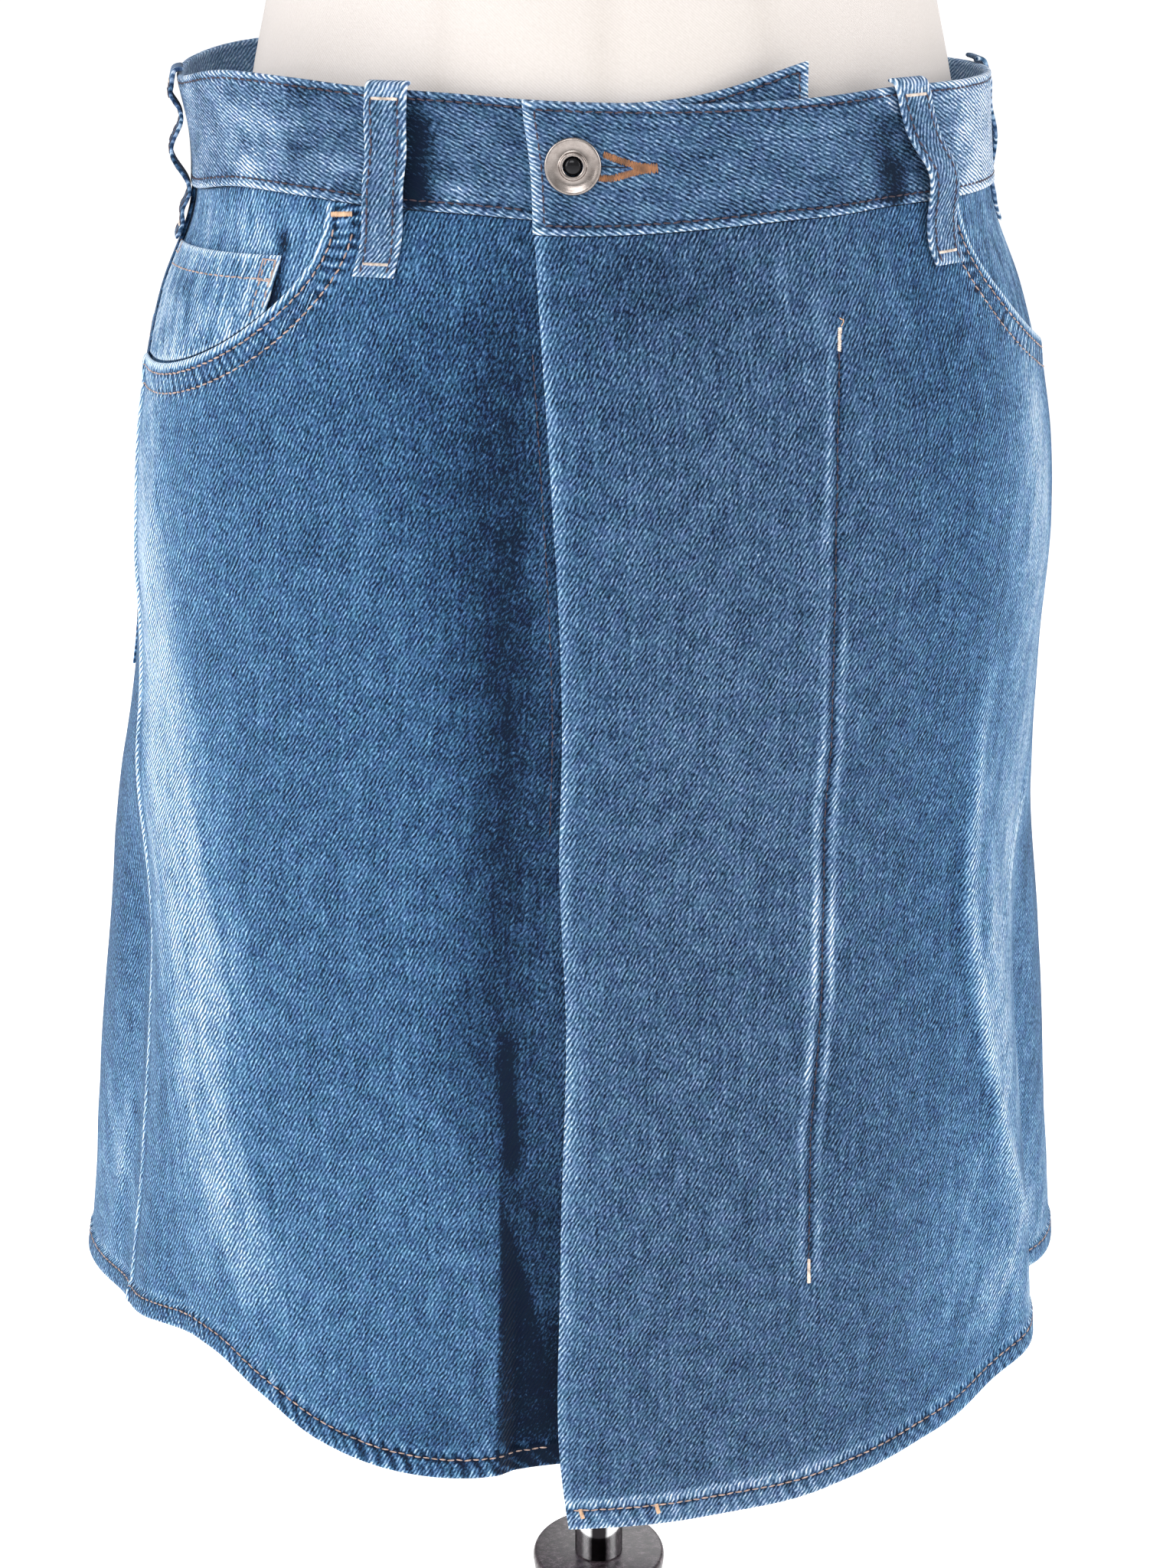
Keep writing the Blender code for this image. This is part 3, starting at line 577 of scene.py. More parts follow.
def makeNickel():
    material, shader = newMaterial("brushedNickel", *nickel["plain"], 1.0)
    place = objectPlace(material)
    cloudy = noiseNode(material, place, nickel["cloudSize"], 3.0, 0.6)
    scratches = noiseNode(material, stretched(material, place, nickel["scratchSize"]), 1.0, 3.0, 0.6)
    setInput(material, shader, "Base Color", rampNode(material, cloudy, nickel["tones"]))
    roughBy(material, shader, scratches, nickel["roughness"])
    bumpInto(material, shader, scratches, *nickel["bump"])
    return material


def makeDarkStud():
    material, shader = newMaterial("darkStud", *darkStud["plain"])
    smear = noiseNode(material, objectPlace(material), darkStud["smearSize"])
    roughBy(material, shader, smear, darkStud["roughness"])
    return material


cotton = {
    "plain": (linear(246, 243, 238), 0.85),
    "specular": 0.2,
    "sheen": 0.1,
    "ribs": (760.0, 1000.0),  # to a metre across and down
    "slubSize": 900.0,
    "cloudSize": 14.0,
    "base": 0.62,
    "rib": 0.05,
    "slub": 0.30,
    "cloud": 0.25,
    "tones": [(0.0, linear(140, 130, 118)), (0.45, linear(210, 202, 196)), (0.8, linear(230, 223, 219))],
    "bump": (0.25, 0.00012),
}


def makeFormCloth():
    material, shader = newMaterial("formCotton", *cotton["plain"])
    setSheen(shader, cotton)
    where = clothPlace(material)
    split = addNode(material, "ShaderNodeSeparateXYZ", where)
    ribPlace = mathNode(material, "MULTIPLY", split.outputs[0], cotton["ribs"][0])
    ribPlace = mathNode(material, "MULTIPLY_ADD", split.outputs[1], cotton["ribs"][1], ribPlace)
    rib = mathNode(material, "SINE", mathNode(material, "MULTIPLY", ribPlace, 2.0 * math.pi))
    slub = noiseNode(material, where, cotton["slubSize"], 3.0, 0.6)
    cloud = noiseNode(material, where, cotton["cloudSize"], 3.0)
    value = mathNode(material, "MULTIPLY_ADD", rib, cotton["rib"], cotton["base"])
    value = addSwing(material, slub, cotton["slub"], value)
    value = addSwing(material, cloud, cotton["cloud"], value)
    value = mathNode(material, "ADD", value, pointNumber(material, "wearAndShade"))
    setInput(material, shader, "Base Color", rampNode(material, value, cotton["tones"]))
    bumpInto(material, shader, mathNode(material, "ADD", rib, slub), *cotton["bump"])
    return material


chrome = {
    "plain": ((0.82, 0.82, 0.84), 0.09, 1.0),
    "hazeSize": 60.0,
    "roughness": (0.14, 0.02),
    "bands": 4.0,  # painted reflections: upright dark and bright bands round the tube, as of a dim room and its windows
    "uneven": 0.8,
    "tones": [(0.30, (0.80, 0.80, 0.81)), (0.85, (0.02, 0.018, 0.02))],
}
wood = {
    "plain": ((0.03, 0.02, 0.018), 0.36),
    "coat": 0.25,
    "coatRoughness": 0.22,
    "grainSize": (110.0, 160.0, 60.0),
    "grain": 3.0,
    "pores": 14.0,
    "tones": [(0.34, linear(24, 18, 21)), (0.52, linear(68, 56, 61)), (0.68, linear(122, 108, 114))],
    "bump": (0.25, 0.0004),
}


def makeChrome():
    material, shader = newMaterial("polishedChrome", *chrome["plain"])
    place = objectPlace(material)
    haze = noiseNode(material, place, chrome["hazeSize"], 4.0, 0.6)
    roughBy(material, shader, haze, chrome["roughness"])
    # the base color is painted reflection of a room round the tube
    split = addNode(material, "ShaderNodeSeparateXYZ", place)
    turn = mathNode(material, "ARCTAN2", split.outputs[0], split.outputs[1])
    bands = mathNode(material, "COSINE", mathNode(material, "MULTIPLY", turn, chrome["bands"]))
    bands = mathNode(material, "MULTIPLY_ADD", haze, chrome["uneven"], bands)
    setInput(material, shader, "Base Color", rampNode(material, bands, chrome["tones"]))
    return material


def makeDarkWood():
    material, shader = newMaterial("darkWood", *wood["plain"])
    shader.inputs["Coat Weight"].default_value = wood["coat"]
    shader.inputs["Coat Roughness"].default_value = wood["coatRoughness"]
    place = stretched(material, objectPlace(material), wood["grainSize"])
    grain = noiseNode(material, place, wood["grain"], 6.0, 0.7)
    pores = noiseNode(material, place, wood["pores"], 3.0, 0.6)
    value = addSwing(material, pores, 0.5, grain)
    setInput(material, shader, "Base Color", rampNode(material, value, wood["tones"]))
    bumpInto(material, shader, value, *wood["bump"])
    return material


insideBase = denim["base"] + denim["insidePaler"]
finishes = {
    "denim": makeDenim("washedDenim", denim["base"], 1.0),
    "denimInside": makeDenim("denimInside", insideBase, denim["insideContrast"]),
    "metal": makeNickel(),
    "darkMetal": makeDarkStud(),
    "formCloth": makeFormCloth(),
    "chrome": makeChrome(),
    "wood": makeDarkWood(),
    **{name: makeThread(name) for name in threads},
}
print("finishes made")


# ---- pieces of cloth
def deselectAll():
    if bpy.context.object and bpy.context.object.mode != "OBJECT":
        bpy.ops.object.mode_set(mode="OBJECT")
    bpy.ops.object.select_all(action="DESELECT")


def pickOnly(piece):
    deselectAll()
    piece.select_set(True)
    bpy.context.view_layer.objects.active = piece


def applyModifier(piece, name):
    bpy.context.view_layer.objects.active = piece
    bpy.ops.object.modifier_apply(modifier=name)


def faceOutwards(piece):
    pickOnly(piece)
    bpy.ops.object.mode_set(mode="EDIT")
    bpy.ops.mesh.select_all(action="SELECT")
    bpy.ops.mesh.normals_make_consistent(inside=False)
    bpy.ops.object.mode_set(mode="OBJECT")


def smoothTo(angle):  # degrees
    bpy.ops.object.shade_smooth_by_angle(angle=math.radians(angle))


def finishPiece(piece, name, slot=None, replaced=(), materials=()):
    piece.name = name
    piece.data.name = name
    for material in materials:
        piece.data.materials.append(finishes[material])
    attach(piece, "root")
    if slot:
        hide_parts(*replaced)
    return piece


def finishCloth(piece, name):
    return finishPiece(piece, name + "_cloth", "denim", [name])


def readPoints(piece):
    flat = np.zeros(len(piece.data.vertices) * 3)
    piece.data.vertices.foreach_get("co", flat)
    return flat.reshape(-1, 3)


def setPoints(piece, points):
    piece.data.vertices.foreach_set("co", np.asarray(points, dtype=np.float32).ravel())
    piece.data.update()


def setNumber(piece, name, values):
    attribute = piece.data.attributes.new(name, "FLOAT", "POINT")
    attribute.data.foreach_set("value", np.asarray(values, dtype=np.float32))


def setCloth(piece, across, down):  # the cloth's own place of each corner, in metres
    layer = piece.data.uv_layers.get("cloth") or piece.data.uv_layers.new(name="cloth")
    corners = np.zeros(len(piece.data.loops), dtype=np.int64)
    piece.data.loops.foreach_get("vertex_index", corners)
    places = np.stack([across[corners], down[corners]], axis=1)
    layer.data.foreach_set("uv", places.astype(np.float32).ravel())
    for other in [one for one in piece.data.uv_layers if one.name != "cloth"]:
        piece.data.uv_layers.remove(other)


def walledGrid(columnCount, rowCount, materials):  # two faces and rims; each outer point's column and row
    deselectAll()
    bpy.ops.mesh.primitive_grid_add(x_subdivisions=columnCount - 1, y_subdivisions=rowCount - 1, size=2.0)
    piece = bpy.context.object
    flat = readPoints(piece)
    column = np.rint((flat[:, 0] + 1.0) / 2.0 * (columnCount - 1)).astype(int)
    row = np.rint((1.0 - flat[:, 1]) / 2.0 * (rowCount - 1)).astype(int)
    wall = piece.modifiers.new("wall", "SOLIDIFY")
    wall.thickness = garment["cloth"]
    wall.offset = -1.0
    wall.material_offset = len(materials) - 1
    for material in materials:
        piece.data.materials.append(finishes[material])
    applyModifier(piece, "wall")
    return piece, column, row


shell = {
    "smooth": 52.0,  # degrees between faces past which an edge stays sharp
    "thinnest": 0.38,  # share of its thickness that is left at a cut edge
    "insideWorn": 0.3,
    "tealMiddle": 5.0,  # degrees, and how far from there the bluer cast starts and grows
    "tealStarts": 4.0,
    "tealTurn": 30.0,
    "tealWornOff": 0.6,
}


def clothShell(columns, rows, lay, turnedCloth=False, teal=0.0):
    # lay(column, row) gives each point's angle and depth, how far out both faces lie, and how pale it is from
    # wear, painted shade and painted side light
    piece, column, row = walledGrid(len(columns), len(rows), ("denim", "denimInside"))
    angle, depth, inner, outer, wearAndShade = lay(columns[column], rows[row])
    setPoints(piece, np.concatenate([skirtPoint(angle, depth, outer), skirtPoint(angle, depth, inner)]))
    across, down = acrossAt(angle, depth), -depth
    if turnedCloth:
        across, down = depth, across
    setCloth(piece, np.tile(across, 2), np.tile(down, 2))
    setNumber(piece, "wearAndShade", np.concatenate([wearAndShade, wearAndShade * shell["insideWorn"]]))
    toSide = ease((np.abs(angle - shell["tealMiddle"]) - shell["tealStarts"]) / shell["tealTurn"])
    wornOff = 1.0 - shell["tealWornOff"] * ease((wearAndShade - 0.2) / 0.6)
    setNumber(piece, "teal", np.tile(teal * toSide * wornOff, 2))
    pickOnly(piece)
    smoothTo(shell["smooth"])
    return piece


def rounding(away, radius):  # a cut or folded edge thins out over its radius
    part = 1.0 - np.clip(away / radius, 0.0, 1.0)
    thinnest = shell["thinnest"]
    return np.sqrt(np.maximum(0.0, 1.0 - part**2)) * (1.0 - thinnest) + thinnest


def bothFaces(inner, thick, shape, rise, shown=0.0):  # shown: share of what stands out that shows inside
    middle = inner + thick / 2
    half = thick / 2 * shape
    return middle - half + np.maximum(rise, 0.0) * shown, middle + half + rise


def toEdges(column, columns, depth, top, low):  # metres to the top, foot, left, right and nearest edge
    left = (column - columns[0]) * perDegree(depth)
    right = (columns[-1] - column) * perDegree(depth)
    edge = np.minimum(np.minimum(depth - top, low - depth), np.minimum(left, right))
    return depth - top, low - depth, left, right, edge


def spaced(start, stop, step, close):  # places from start to stop, closer together at both ends
    near = [start + one for one in close]
    far = [stop - one for one in close]
    evenly = np.linspace(start, stop, max(3, round((stop - start) / step)) + 1)
    middle = [one for one in evenly if near[-1] + step * 0.6 < one < far[-1] - step * 0.6]
    return np.array([*near, *middle, *reversed(far)])


def shareRows(count, first, last, topClose, lowClose, dense=0):  # share of the way down, and metres added
    rows = [(0.0, one) for one in topClose]
    if dense:
        rows += [(share, 0.0) for share in np.linspace(first, panels["denseShare"], dense, endpoint=False)]
        first = panels["denseShare"]
    rows += [(share, 0.0) for share in np.linspace(first, last, count)]
    rows += [(1.0, -one) for one in reversed(lowClose)]
    return np.array(rows)


pucker = {"drift": (0.55, 0.021), "smallDrift": (0.25, 0.007), "sharpness": 1.4}  # waves, metres to a change


def puckers(along, pitch, seed):  # 0 to 1, uneven waves along a seam
    drift, reach = pucker["drift"]
    smallDrift, smallReach = pucker["smallDrift"]
    swing = drift * softNoise(along / reach, 0.0, seed)
    swing = swing + smallDrift * softNoise(along / smallReach, 3.0, seed)
    wave = 0.5 + 0.5 * np.sin(2.0 * np.pi * (along / pitch + swing))
    return wave ** pucker["sharpness"]


def sunkLines(away, lines):  # stitches pressed into cloth, with painted shade along their grooves: where, how deep and wide, how dark and wide
    rise = np.zeros(away.shape)
    pale = np.zeros(away.shape)
    for place, deep, width, dark, darkWidth in lines:
        rise -= deep * bell(away - place, width)
        pale -= dark * bell(away - place, darkWidth)
    return rise, pale


def nearLine(angle, depth, line):  # metres to a line of (angle, depth) points, and how far along it
    scale = perDegree(depth)
    best = np.full(angle.shape, np.inf)
    way = np.zeros(angle.shape)
    for index, (start, stop) in enumerate(zip(line[:-1], line[1:])):
        stepX = (stop[0] - start[0]) * scale
        stepY = stop[1] - start[1]
        offX = (angle - start[0]) * scale
        offY = depth - start[1]
        part = np.clip((offX * stepX + offY * stepY) / (stepX**2 + stepY**2), 0.0, 1.0)
        away = np.hypot(offX - part * stepX, offY - part * stepY)
        closer = away < best
        best = np.where(closer, away, best)
        way = np.where(closer, (index + part) / (len(line) - 1), way)
    return best, way


def lineFade(way, reach):  # 0 at both ends of a line
    return ease(way / reach) * ease((1.0 - way) / reach)


def creaseRelief(angle, depth, lines):  # rise and paleness of soft creases, with painted shade along the troughs
    rise = np.zeros(angle.shape)
    pale = np.zeros(angle.shape)
    for number, (line, width, height, paleness) in enumerate(lines):
        away, way = nearLine(angle, depth, line)
        fade = lineFade(way, 0.22)
        wide = width * (1.0 + 0.35 * softNoise(depth / 0.02, angle / 9.0, number))
        uneven = 0.86 + 0.42 * softNoise(way * 7.0, 0.0, 50 + number)
        rise += height * bell(away, wide) * fade
        pale += paleness * uneven * bell(away, wide * 0.8) * fade
    return rise, pale


# paleness from the patch and streak tables: fading wear and painted shadow, with fine scratches where it is
# pale
def wearAndShadePale(name, angle, depth):
    pale = np.zeros(angle.shape)
    for middle, low, wide, high, paleness in wearAndShadePatches.get(name, []):
        pale += paleness * bell(angle - middle, wide) * bell(depth - low, high)
    for number, (line, width, paleness) in enumerate(wearAndShadeStreaks.get(name, [])):
        away, way = nearLine(angle, depth, line)
        uneven = 1.0 + 0.3 * softNoise(depth / 0.03, angle / 6.0, 90 + number)
        pale += paleness * uneven * bell(away, width) * lineFade(way, 0.2)
    # fine slanting scratches where the cloth is worn
    slanted = angle * perDegree(depth) + np.sign(angle) * 0.35 * depth
    fine = softNoise(slanted / 0.0050, depth / 0.032, 31)
    fine = fine + 0.8 * softNoise(slanted / 0.0024, depth / 0.013, 32)
    return pale + 0.15 * fine * ease(pale / 0.35)


def cockle(angle, depth, seed):  # the cloth's own unevenness, in metres
    across = angle * perDegree(depth)
    broad = 0.00045 * softNoise(across / 0.034, depth / 0.06, seed)
    return broad + 0.00016 * softNoise(across / 0.011, depth / 0.017, seed + 5)


print("surface ready")

# ---- panels
panels = {
    "columnStep": 0.42,  # degrees
    "backStep": 0.62,
    "columnClose": (0.0, 0.10, 0.26, 0.52, 0.95),
    "rowCount": 100,
    "denseRows": 27,  # closer rows where the pocket mouths are sewn
    "denseShare": 0.087,
    "firstShare": 0.019,
    "lastShare": 0.960,
    "topClose": (0.0, 0.0003, 0.0008, 0.0016, 0.0024, 0.0032, 0.0039, 0.0046, 0.0056, 0.0068),
    "hemClose": (
        0.0, 0.0002, 0.0006, 0.0012, 0.0021, 0.0034, 0.0050, 0.0066, 0.0078, 0.0086, 0.0094, 0.0102, 0.0109,
        0.0118, 0.0128, 0.0140,
    ),
    "firmLine": (11.5, 18.6, 0.30),  # degrees where the over panel's stitching runs, and its closer step
    "hemStep": 0.0012,  # the hem's thickness comes in over this height
    "edgeRound": 0.0011,
    "showsInside": 0.7,
}
hemLook = {
    "pitch": 0.0046,
    "pucker": 0.00030,
    "reach": 0.0095,  # how high the roping goes, and how softly it ends
    "reachSoft": 0.004,
    "strength": {True: 0.46, False: 1.0},  # of the roping, on the over side and not
    "ropePale": 0.95,
    "fold": (0.80, 0.0016),  # paleness of the folded edge, and its width
    "above": (0.0117, 0.0019),  # the bleached band above the stitching
    "sideStarts": 12.0,  # the over panel's hem grows darker over these degrees
    "sideTurn": 14.0,
    "sunk": [(0.0086, 0.00022, 0.0008, 0.80, 0.0009)],
}
mouthLook = {
    "pitch": 0.0034,
    "pucker": 0.00022,
    "sewn": 0.0120,
    "soft": 0.004,
    "reach": 0.022,
    "length": 0.135,
    "ropePale": 1.15,
    "edge": (0.0008, 0.0014, 1.05),  # the worn edge: its flat part, how it fades, and how pale
    "sunk": [(0.0040, 0.00018, 0.0006, 0.48, 0.0008), (0.0110, 0.00018, 0.0006, 0.34, 0.0008)],
}
seamLook = {
    "fell": (0.0020, 0.0013, 1.20, 0.0010),  # the welt: flat part, fade, paleness, rise
    # painted shadow beside the welt: how far off, how wide, how dark
    "beside": (0.0056, 0.0018, 0.24),
    "backDark": (0.30, 0.0024),
}
# A crease's ridge is paler from wear; the darkness along a trough is painted shade as well as unfaded cloth.
creases = {  # a line of (angle, depth) points, width, rise, paleness
    "front_under": [
        ([(-66.8, 0.249), (-59.0, 0.290), (-51.6, 0.349), (-46.4, 0.413), (-43.0, 0.470)],
         0.0060, 0.0007, 0.04),
        ([(-56.5, 0.385), (-50.7, 0.438), (-44.5, 0.466), (-41.4, 0.492)], 0.0050, 0.0009, 0.06),
        ([(-19.7, 0.12), (-19.9, 0.205), (-18.6, 0.263), (-17.6, 0.322), (-18.5, 0.40)],
         0.0055, -0.0006, -0.10),
        ([(-24.0, 0.20), (-22.8, 0.30), (-21.6, 0.42)], 0.0045, 0.0006, 0.06),
        ([(-79.0, 0.4735), (-72.0, 0.473), (-63.0, 0.471)], 0.0014, -0.0006, -0.26),
        ([(-72.0, 0.12), (-80.0, 0.17), (-84.0, 0.22)], 0.0070, 0.0008, 0.10),
        ([(-22.6, 0.0440), (-20.8, 0.0480), (-18.6, 0.0525)], 0.0016, 0.0005, 0.34),
        ([(-20.4, 0.0440), (-18.8, 0.0475)], 0.0020, -0.0005, -0.45),
        ([(-27.0, 0.050), (-26.0, 0.085), (-26.5, 0.12)], 0.0035, 0.0004, 0.14),
    ],
    "front_over": [
        ([(41.5, 0.20), (40.8, 0.245), (38.4, 0.305), (41.0, 0.36), (45.0, 0.41), (50.0, 0.45),
          (56.0, 0.475)], 0.0046, 0.0013, 0.56),
        ([(66.0, 0.262), (55.0, 0.295), (44.5, 0.333)], 0.0040, 0.0010, 0.55),
        ([(36.5, 0.26), (36.0, 0.31), (39.0, 0.37), (43.5, 0.42)], 0.0045, -0.0006, -0.16),
        ([(12.3, 0.140), (12.4, 0.185), (13.0, 0.22)], 0.0022, 0.0004, 0.12),
        ([(10.6, 0.046), (10.9, 0.060), (10.4, 0.078)], 0.0024, 0.0004, 0.22),
        ([(14.4, 0.048), (14.9, 0.070), (14.0, 0.092)], 0.0030, 0.0004, 0.16),
        ([(0.2, 0.046), (-0.2, 0.062)], 0.0018, 0.0003, 0.20),
        ([(26.0, 0.046), (27.0, 0.085)], 0.0035, 0.0005, 0.18),
        ([(13.0, 0.255), (13.4, 0.33), (12.8, 0.345)], 0.0022, 0.0004, 0.12),
        ([(10.7, 0.385), (10.6, 0.425)], 0.0022, 0.0004, 0.12),
    ],
    "back_left": [
        ([(-97.0, 0.40), (-98.5, 0.45), (-98.0, 0.49)], 0.0050, 0.0010, 0.25),
        ([(-112.0, 0.26), (-116.0, 0.33), (-119.0, 0.41), (-118.0, 0.47)], 0.0070, 0.0011, 0.12),
        ([(-168.0, 0.060), (-158.0, 0.078), (-146.0, 0.084)], 0.0040, 0.0006, 0.12),
        ([(-150.0, 0.27), (-146.0, 0.35), (-147.0, 0.43)], 0.0080, -0.0009, -0.10),
        ([(-104.0, 0.10), (-110.0, 0.16), (-108.0, 0.24)], 0.0050, 0.0006, 0.10),
    ],
    "back_right": [
        ([(98.0, 0.30), (101.0, 0.40), (104.0, 0.47)], 0.0050, 0.0008, 0.14),
        ([(121.0, 0.29), (125.0, 0.36), (129.0, 0.45), (130.0, 0.49)], 0.0070, 0.0012, 0.14),
        ([(170.0, 0.060), (160.0, 0.074), (149.0, 0.082)], 0.0040, 0.0006, 0.11),
        ([(152.0, 0.30), (156.0, 0.38), (155.0, 0.46)], 0.0080, -0.0009, -0.10),
        ([(168.0, 0.25), (166.0, 0.33), (168.0, 0.42)], 0.0060, 0.0008, 0.10),
    ],
}
# The paler places are fading wear, and toward both sides partly painted side light too; the darker places
# beside the over panel's edge, just under the waistband and beside the belt loops are painted shadow.
wearAndShadePatches = {  # broad paler and darker places: angle and depth, how far each way, paleness
    "pocket_facing_left": [(-66.0, 0.050, 9.0, 0.008, 0.26)],
    "front_under": [
        (-20.0, 0.16, 6.5, 0.10, -0.42), (-18.5, 0.27, 4.5, 0.08, -0.30), (-26.0, 0.10, 7.0, 0.07, -0.16),
        (-17.0, 0.38, 3.5, 0.06, -0.27), (-33.0, 0.10, 8.0, 0.05, -0.08), (-84.0, 0.17, 9.0, 0.12, 0.55),
        (-86.0, 0.30, 8.0, 0.14, 0.10), (-22.0, 0.345, 3.0, 0.035, -0.24),
        (-42.0, 0.480, 9.0, 0.03, 0.16), (-64.0, 0.205, 6.0, 0.02, -0.15),
        (-30.0, 0.42, 12.0, 0.07, 0.06), (-56.0, 0.115, 9.0, 0.02, -0.06),
        (-86.0, 0.245, 5.0, 0.030, -0.26), (-58.0, 0.330, 6.0, 0.030, 0.20),
        (-61.0, 0.420, 4.5, 0.018, -0.26),
        (-46.0, 0.450, 3.0, 0.015, 0.15), (-16.4, 0.165, 2.0, 0.060, 0.30), (-82.0, 0.205, 8.0, 0.020, -0.26),
        (-54.0, 0.335, 10.0, 0.035, 0.14), (-24.0, 0.512, 5.0, 0.012, -0.22),
    ],
    "front_over": [
        (-8.0, 0.08, 16.0, 0.05, -0.06), (-5.0, 0.06, 12.0, 0.02, -0.18), (35.0, 0.46, 8.0, 0.05, 0.28),
        (51.0, 0.285, 5.0, 0.03, 0.32), (57.0, 0.12, 7.0, 0.05, 0.22), (86.0, 0.22, 6.0, 0.14, 0.35),
        (64.0, 0.485, 7.0, 0.02, 0.24),
        (56.0, 0.16, 9.0, 0.07, 0.24), (58.0, 0.30, 16.0, 0.10, 0.24), (58.0, 0.130, 6.0, 0.035, 0.20),
        (58.0, 0.21, 6.0, 0.06, 0.16), (81.0, 0.185, 6.0, 0.05, 0.46), (45.0, 0.470, 5.0, 0.022, 0.44),
        (54.0, 0.486, 4.0, 0.016, 0.62), (70.0, 0.310, 8.0, 0.025, -0.26), (76.0, 0.460, 8.0, 0.03, 0.46),
        (53.0, 0.30, 7.0, 0.05, 0.20), (40.0, 0.35, 5.0, 0.03, 0.16),
        (5.0, 0.23, 7.0, 0.04, 0.05), (30.0, 0.09, 6.0, 0.04, -0.10), (60.0, 0.44, 16.0, 0.08, 0.22),
        (52.8, 0.480, 3.0, 0.014, 0.30), (16.5, 0.300, 1.6, 0.012, 0.24), (16.2, 0.375, 2.0, 0.018, -0.16),
        (58.0, 0.120, 4.0, 0.014, 0.18), (58.0, 0.255, 4.0, 0.020, 0.16), (37.0, 0.420, 4.0, 0.018, 0.18),
        (79.0, 0.210, 4.0, 0.020, 0.16), (44.0, 0.240, 3.0, 0.015, -0.18), (65.0, 0.300, 4.0, 0.014, -0.18),
        (58.0, 0.448, 3.0, 0.010, -0.20), (50.5, 0.135, 3.5, 0.020, -0.10), (-11.0, 0.390, 2.6, 0.090, 0.17),
        (45.0, 0.165, 6.5, 0.055, 0.17), (51.5, 0.170, 4.5, 0.060, 0.18), (44.0, 0.050, 3.0, 0.006, 0.20),
        (64.0, 0.180, 8.0, 0.090, 0.20),
    ],
    "waistband_under": [
        (-31.2, 0.010, 1.9, 0.012, -0.75), (-32.6, 0.030, 2.0, 0.013, -1.10),
        (-25.0, 0.012, 3.0, 0.006, 0.10),
        (-27.0, 0.030, 4.0, 0.003, 0.30), (-44.0, 0.022, 5.0, 0.004, 0.30), (-52.0, 0.010, 6.0, 0.005, 0.22),
        (-60.0, 0.026, 4.0, 0.008, 0.34), (-70.0, 0.016, 5.0, 0.008, 0.30), (-50.0, 0.017, 4.0, 0.003, -0.25),
    ],
    "waistband_over": [
        (28.8, 0.022, 2.4, 0.016, -0.55), (30.6, 0.036, 2.0, 0.010, -0.45), (17.0, 0.010, 5.0, 0.004, 0.18),
        (-7.0, 0.012, 3.0, 0.003, 0.14), (6.0, 0.026, 7.0, 0.004, 0.12), (24.0, 0.028, 3.0, 0.006, 0.18),
        (44.0, 0.020, 3.0, 0.012, -0.25), (52.0, 0.014, 4.0, 0.010, 0.15),
    ],
    "back_left": [
        (-100.0, 0.45, 10.0, 0.08, 0.38), (-95.0, 0.28, 6.0, 0.08, 0.12), (-130.0, 0.165, 20.0, 0.07, 0.17),
        (-150.0, 0.34, 12.0, 0.08, 0.08), (-172.0, 0.12, 6.0, 0.06, 0.08), (-128.0, 0.47, 14.0, 0.03, 0.10),
    ],
    "back_right": [
        (130.0, 0.17, 20.0, 0.07, 0.16), (112.0, 0.40, 10.0, 0.08, 0.14), (150.0, 0.44, 14.0, 0.05, 0.10),
        (170.0, 0.20, 6.0, 0.08, 0.06), (98.0, 0.20, 7.0, 0.08, 0.14),
    ],
    "back_pocket_left": [(-130.0, 0.170, 16.0, 0.05, 0.17), (-117.0, 0.222, 6.0, 0.02, 0.14)],
    "back_pocket_right": [(130.0, 0.165, 16.0, 0.05, 0.16), (144.0, 0.218, 6.0, 0.02, 0.14)],
}
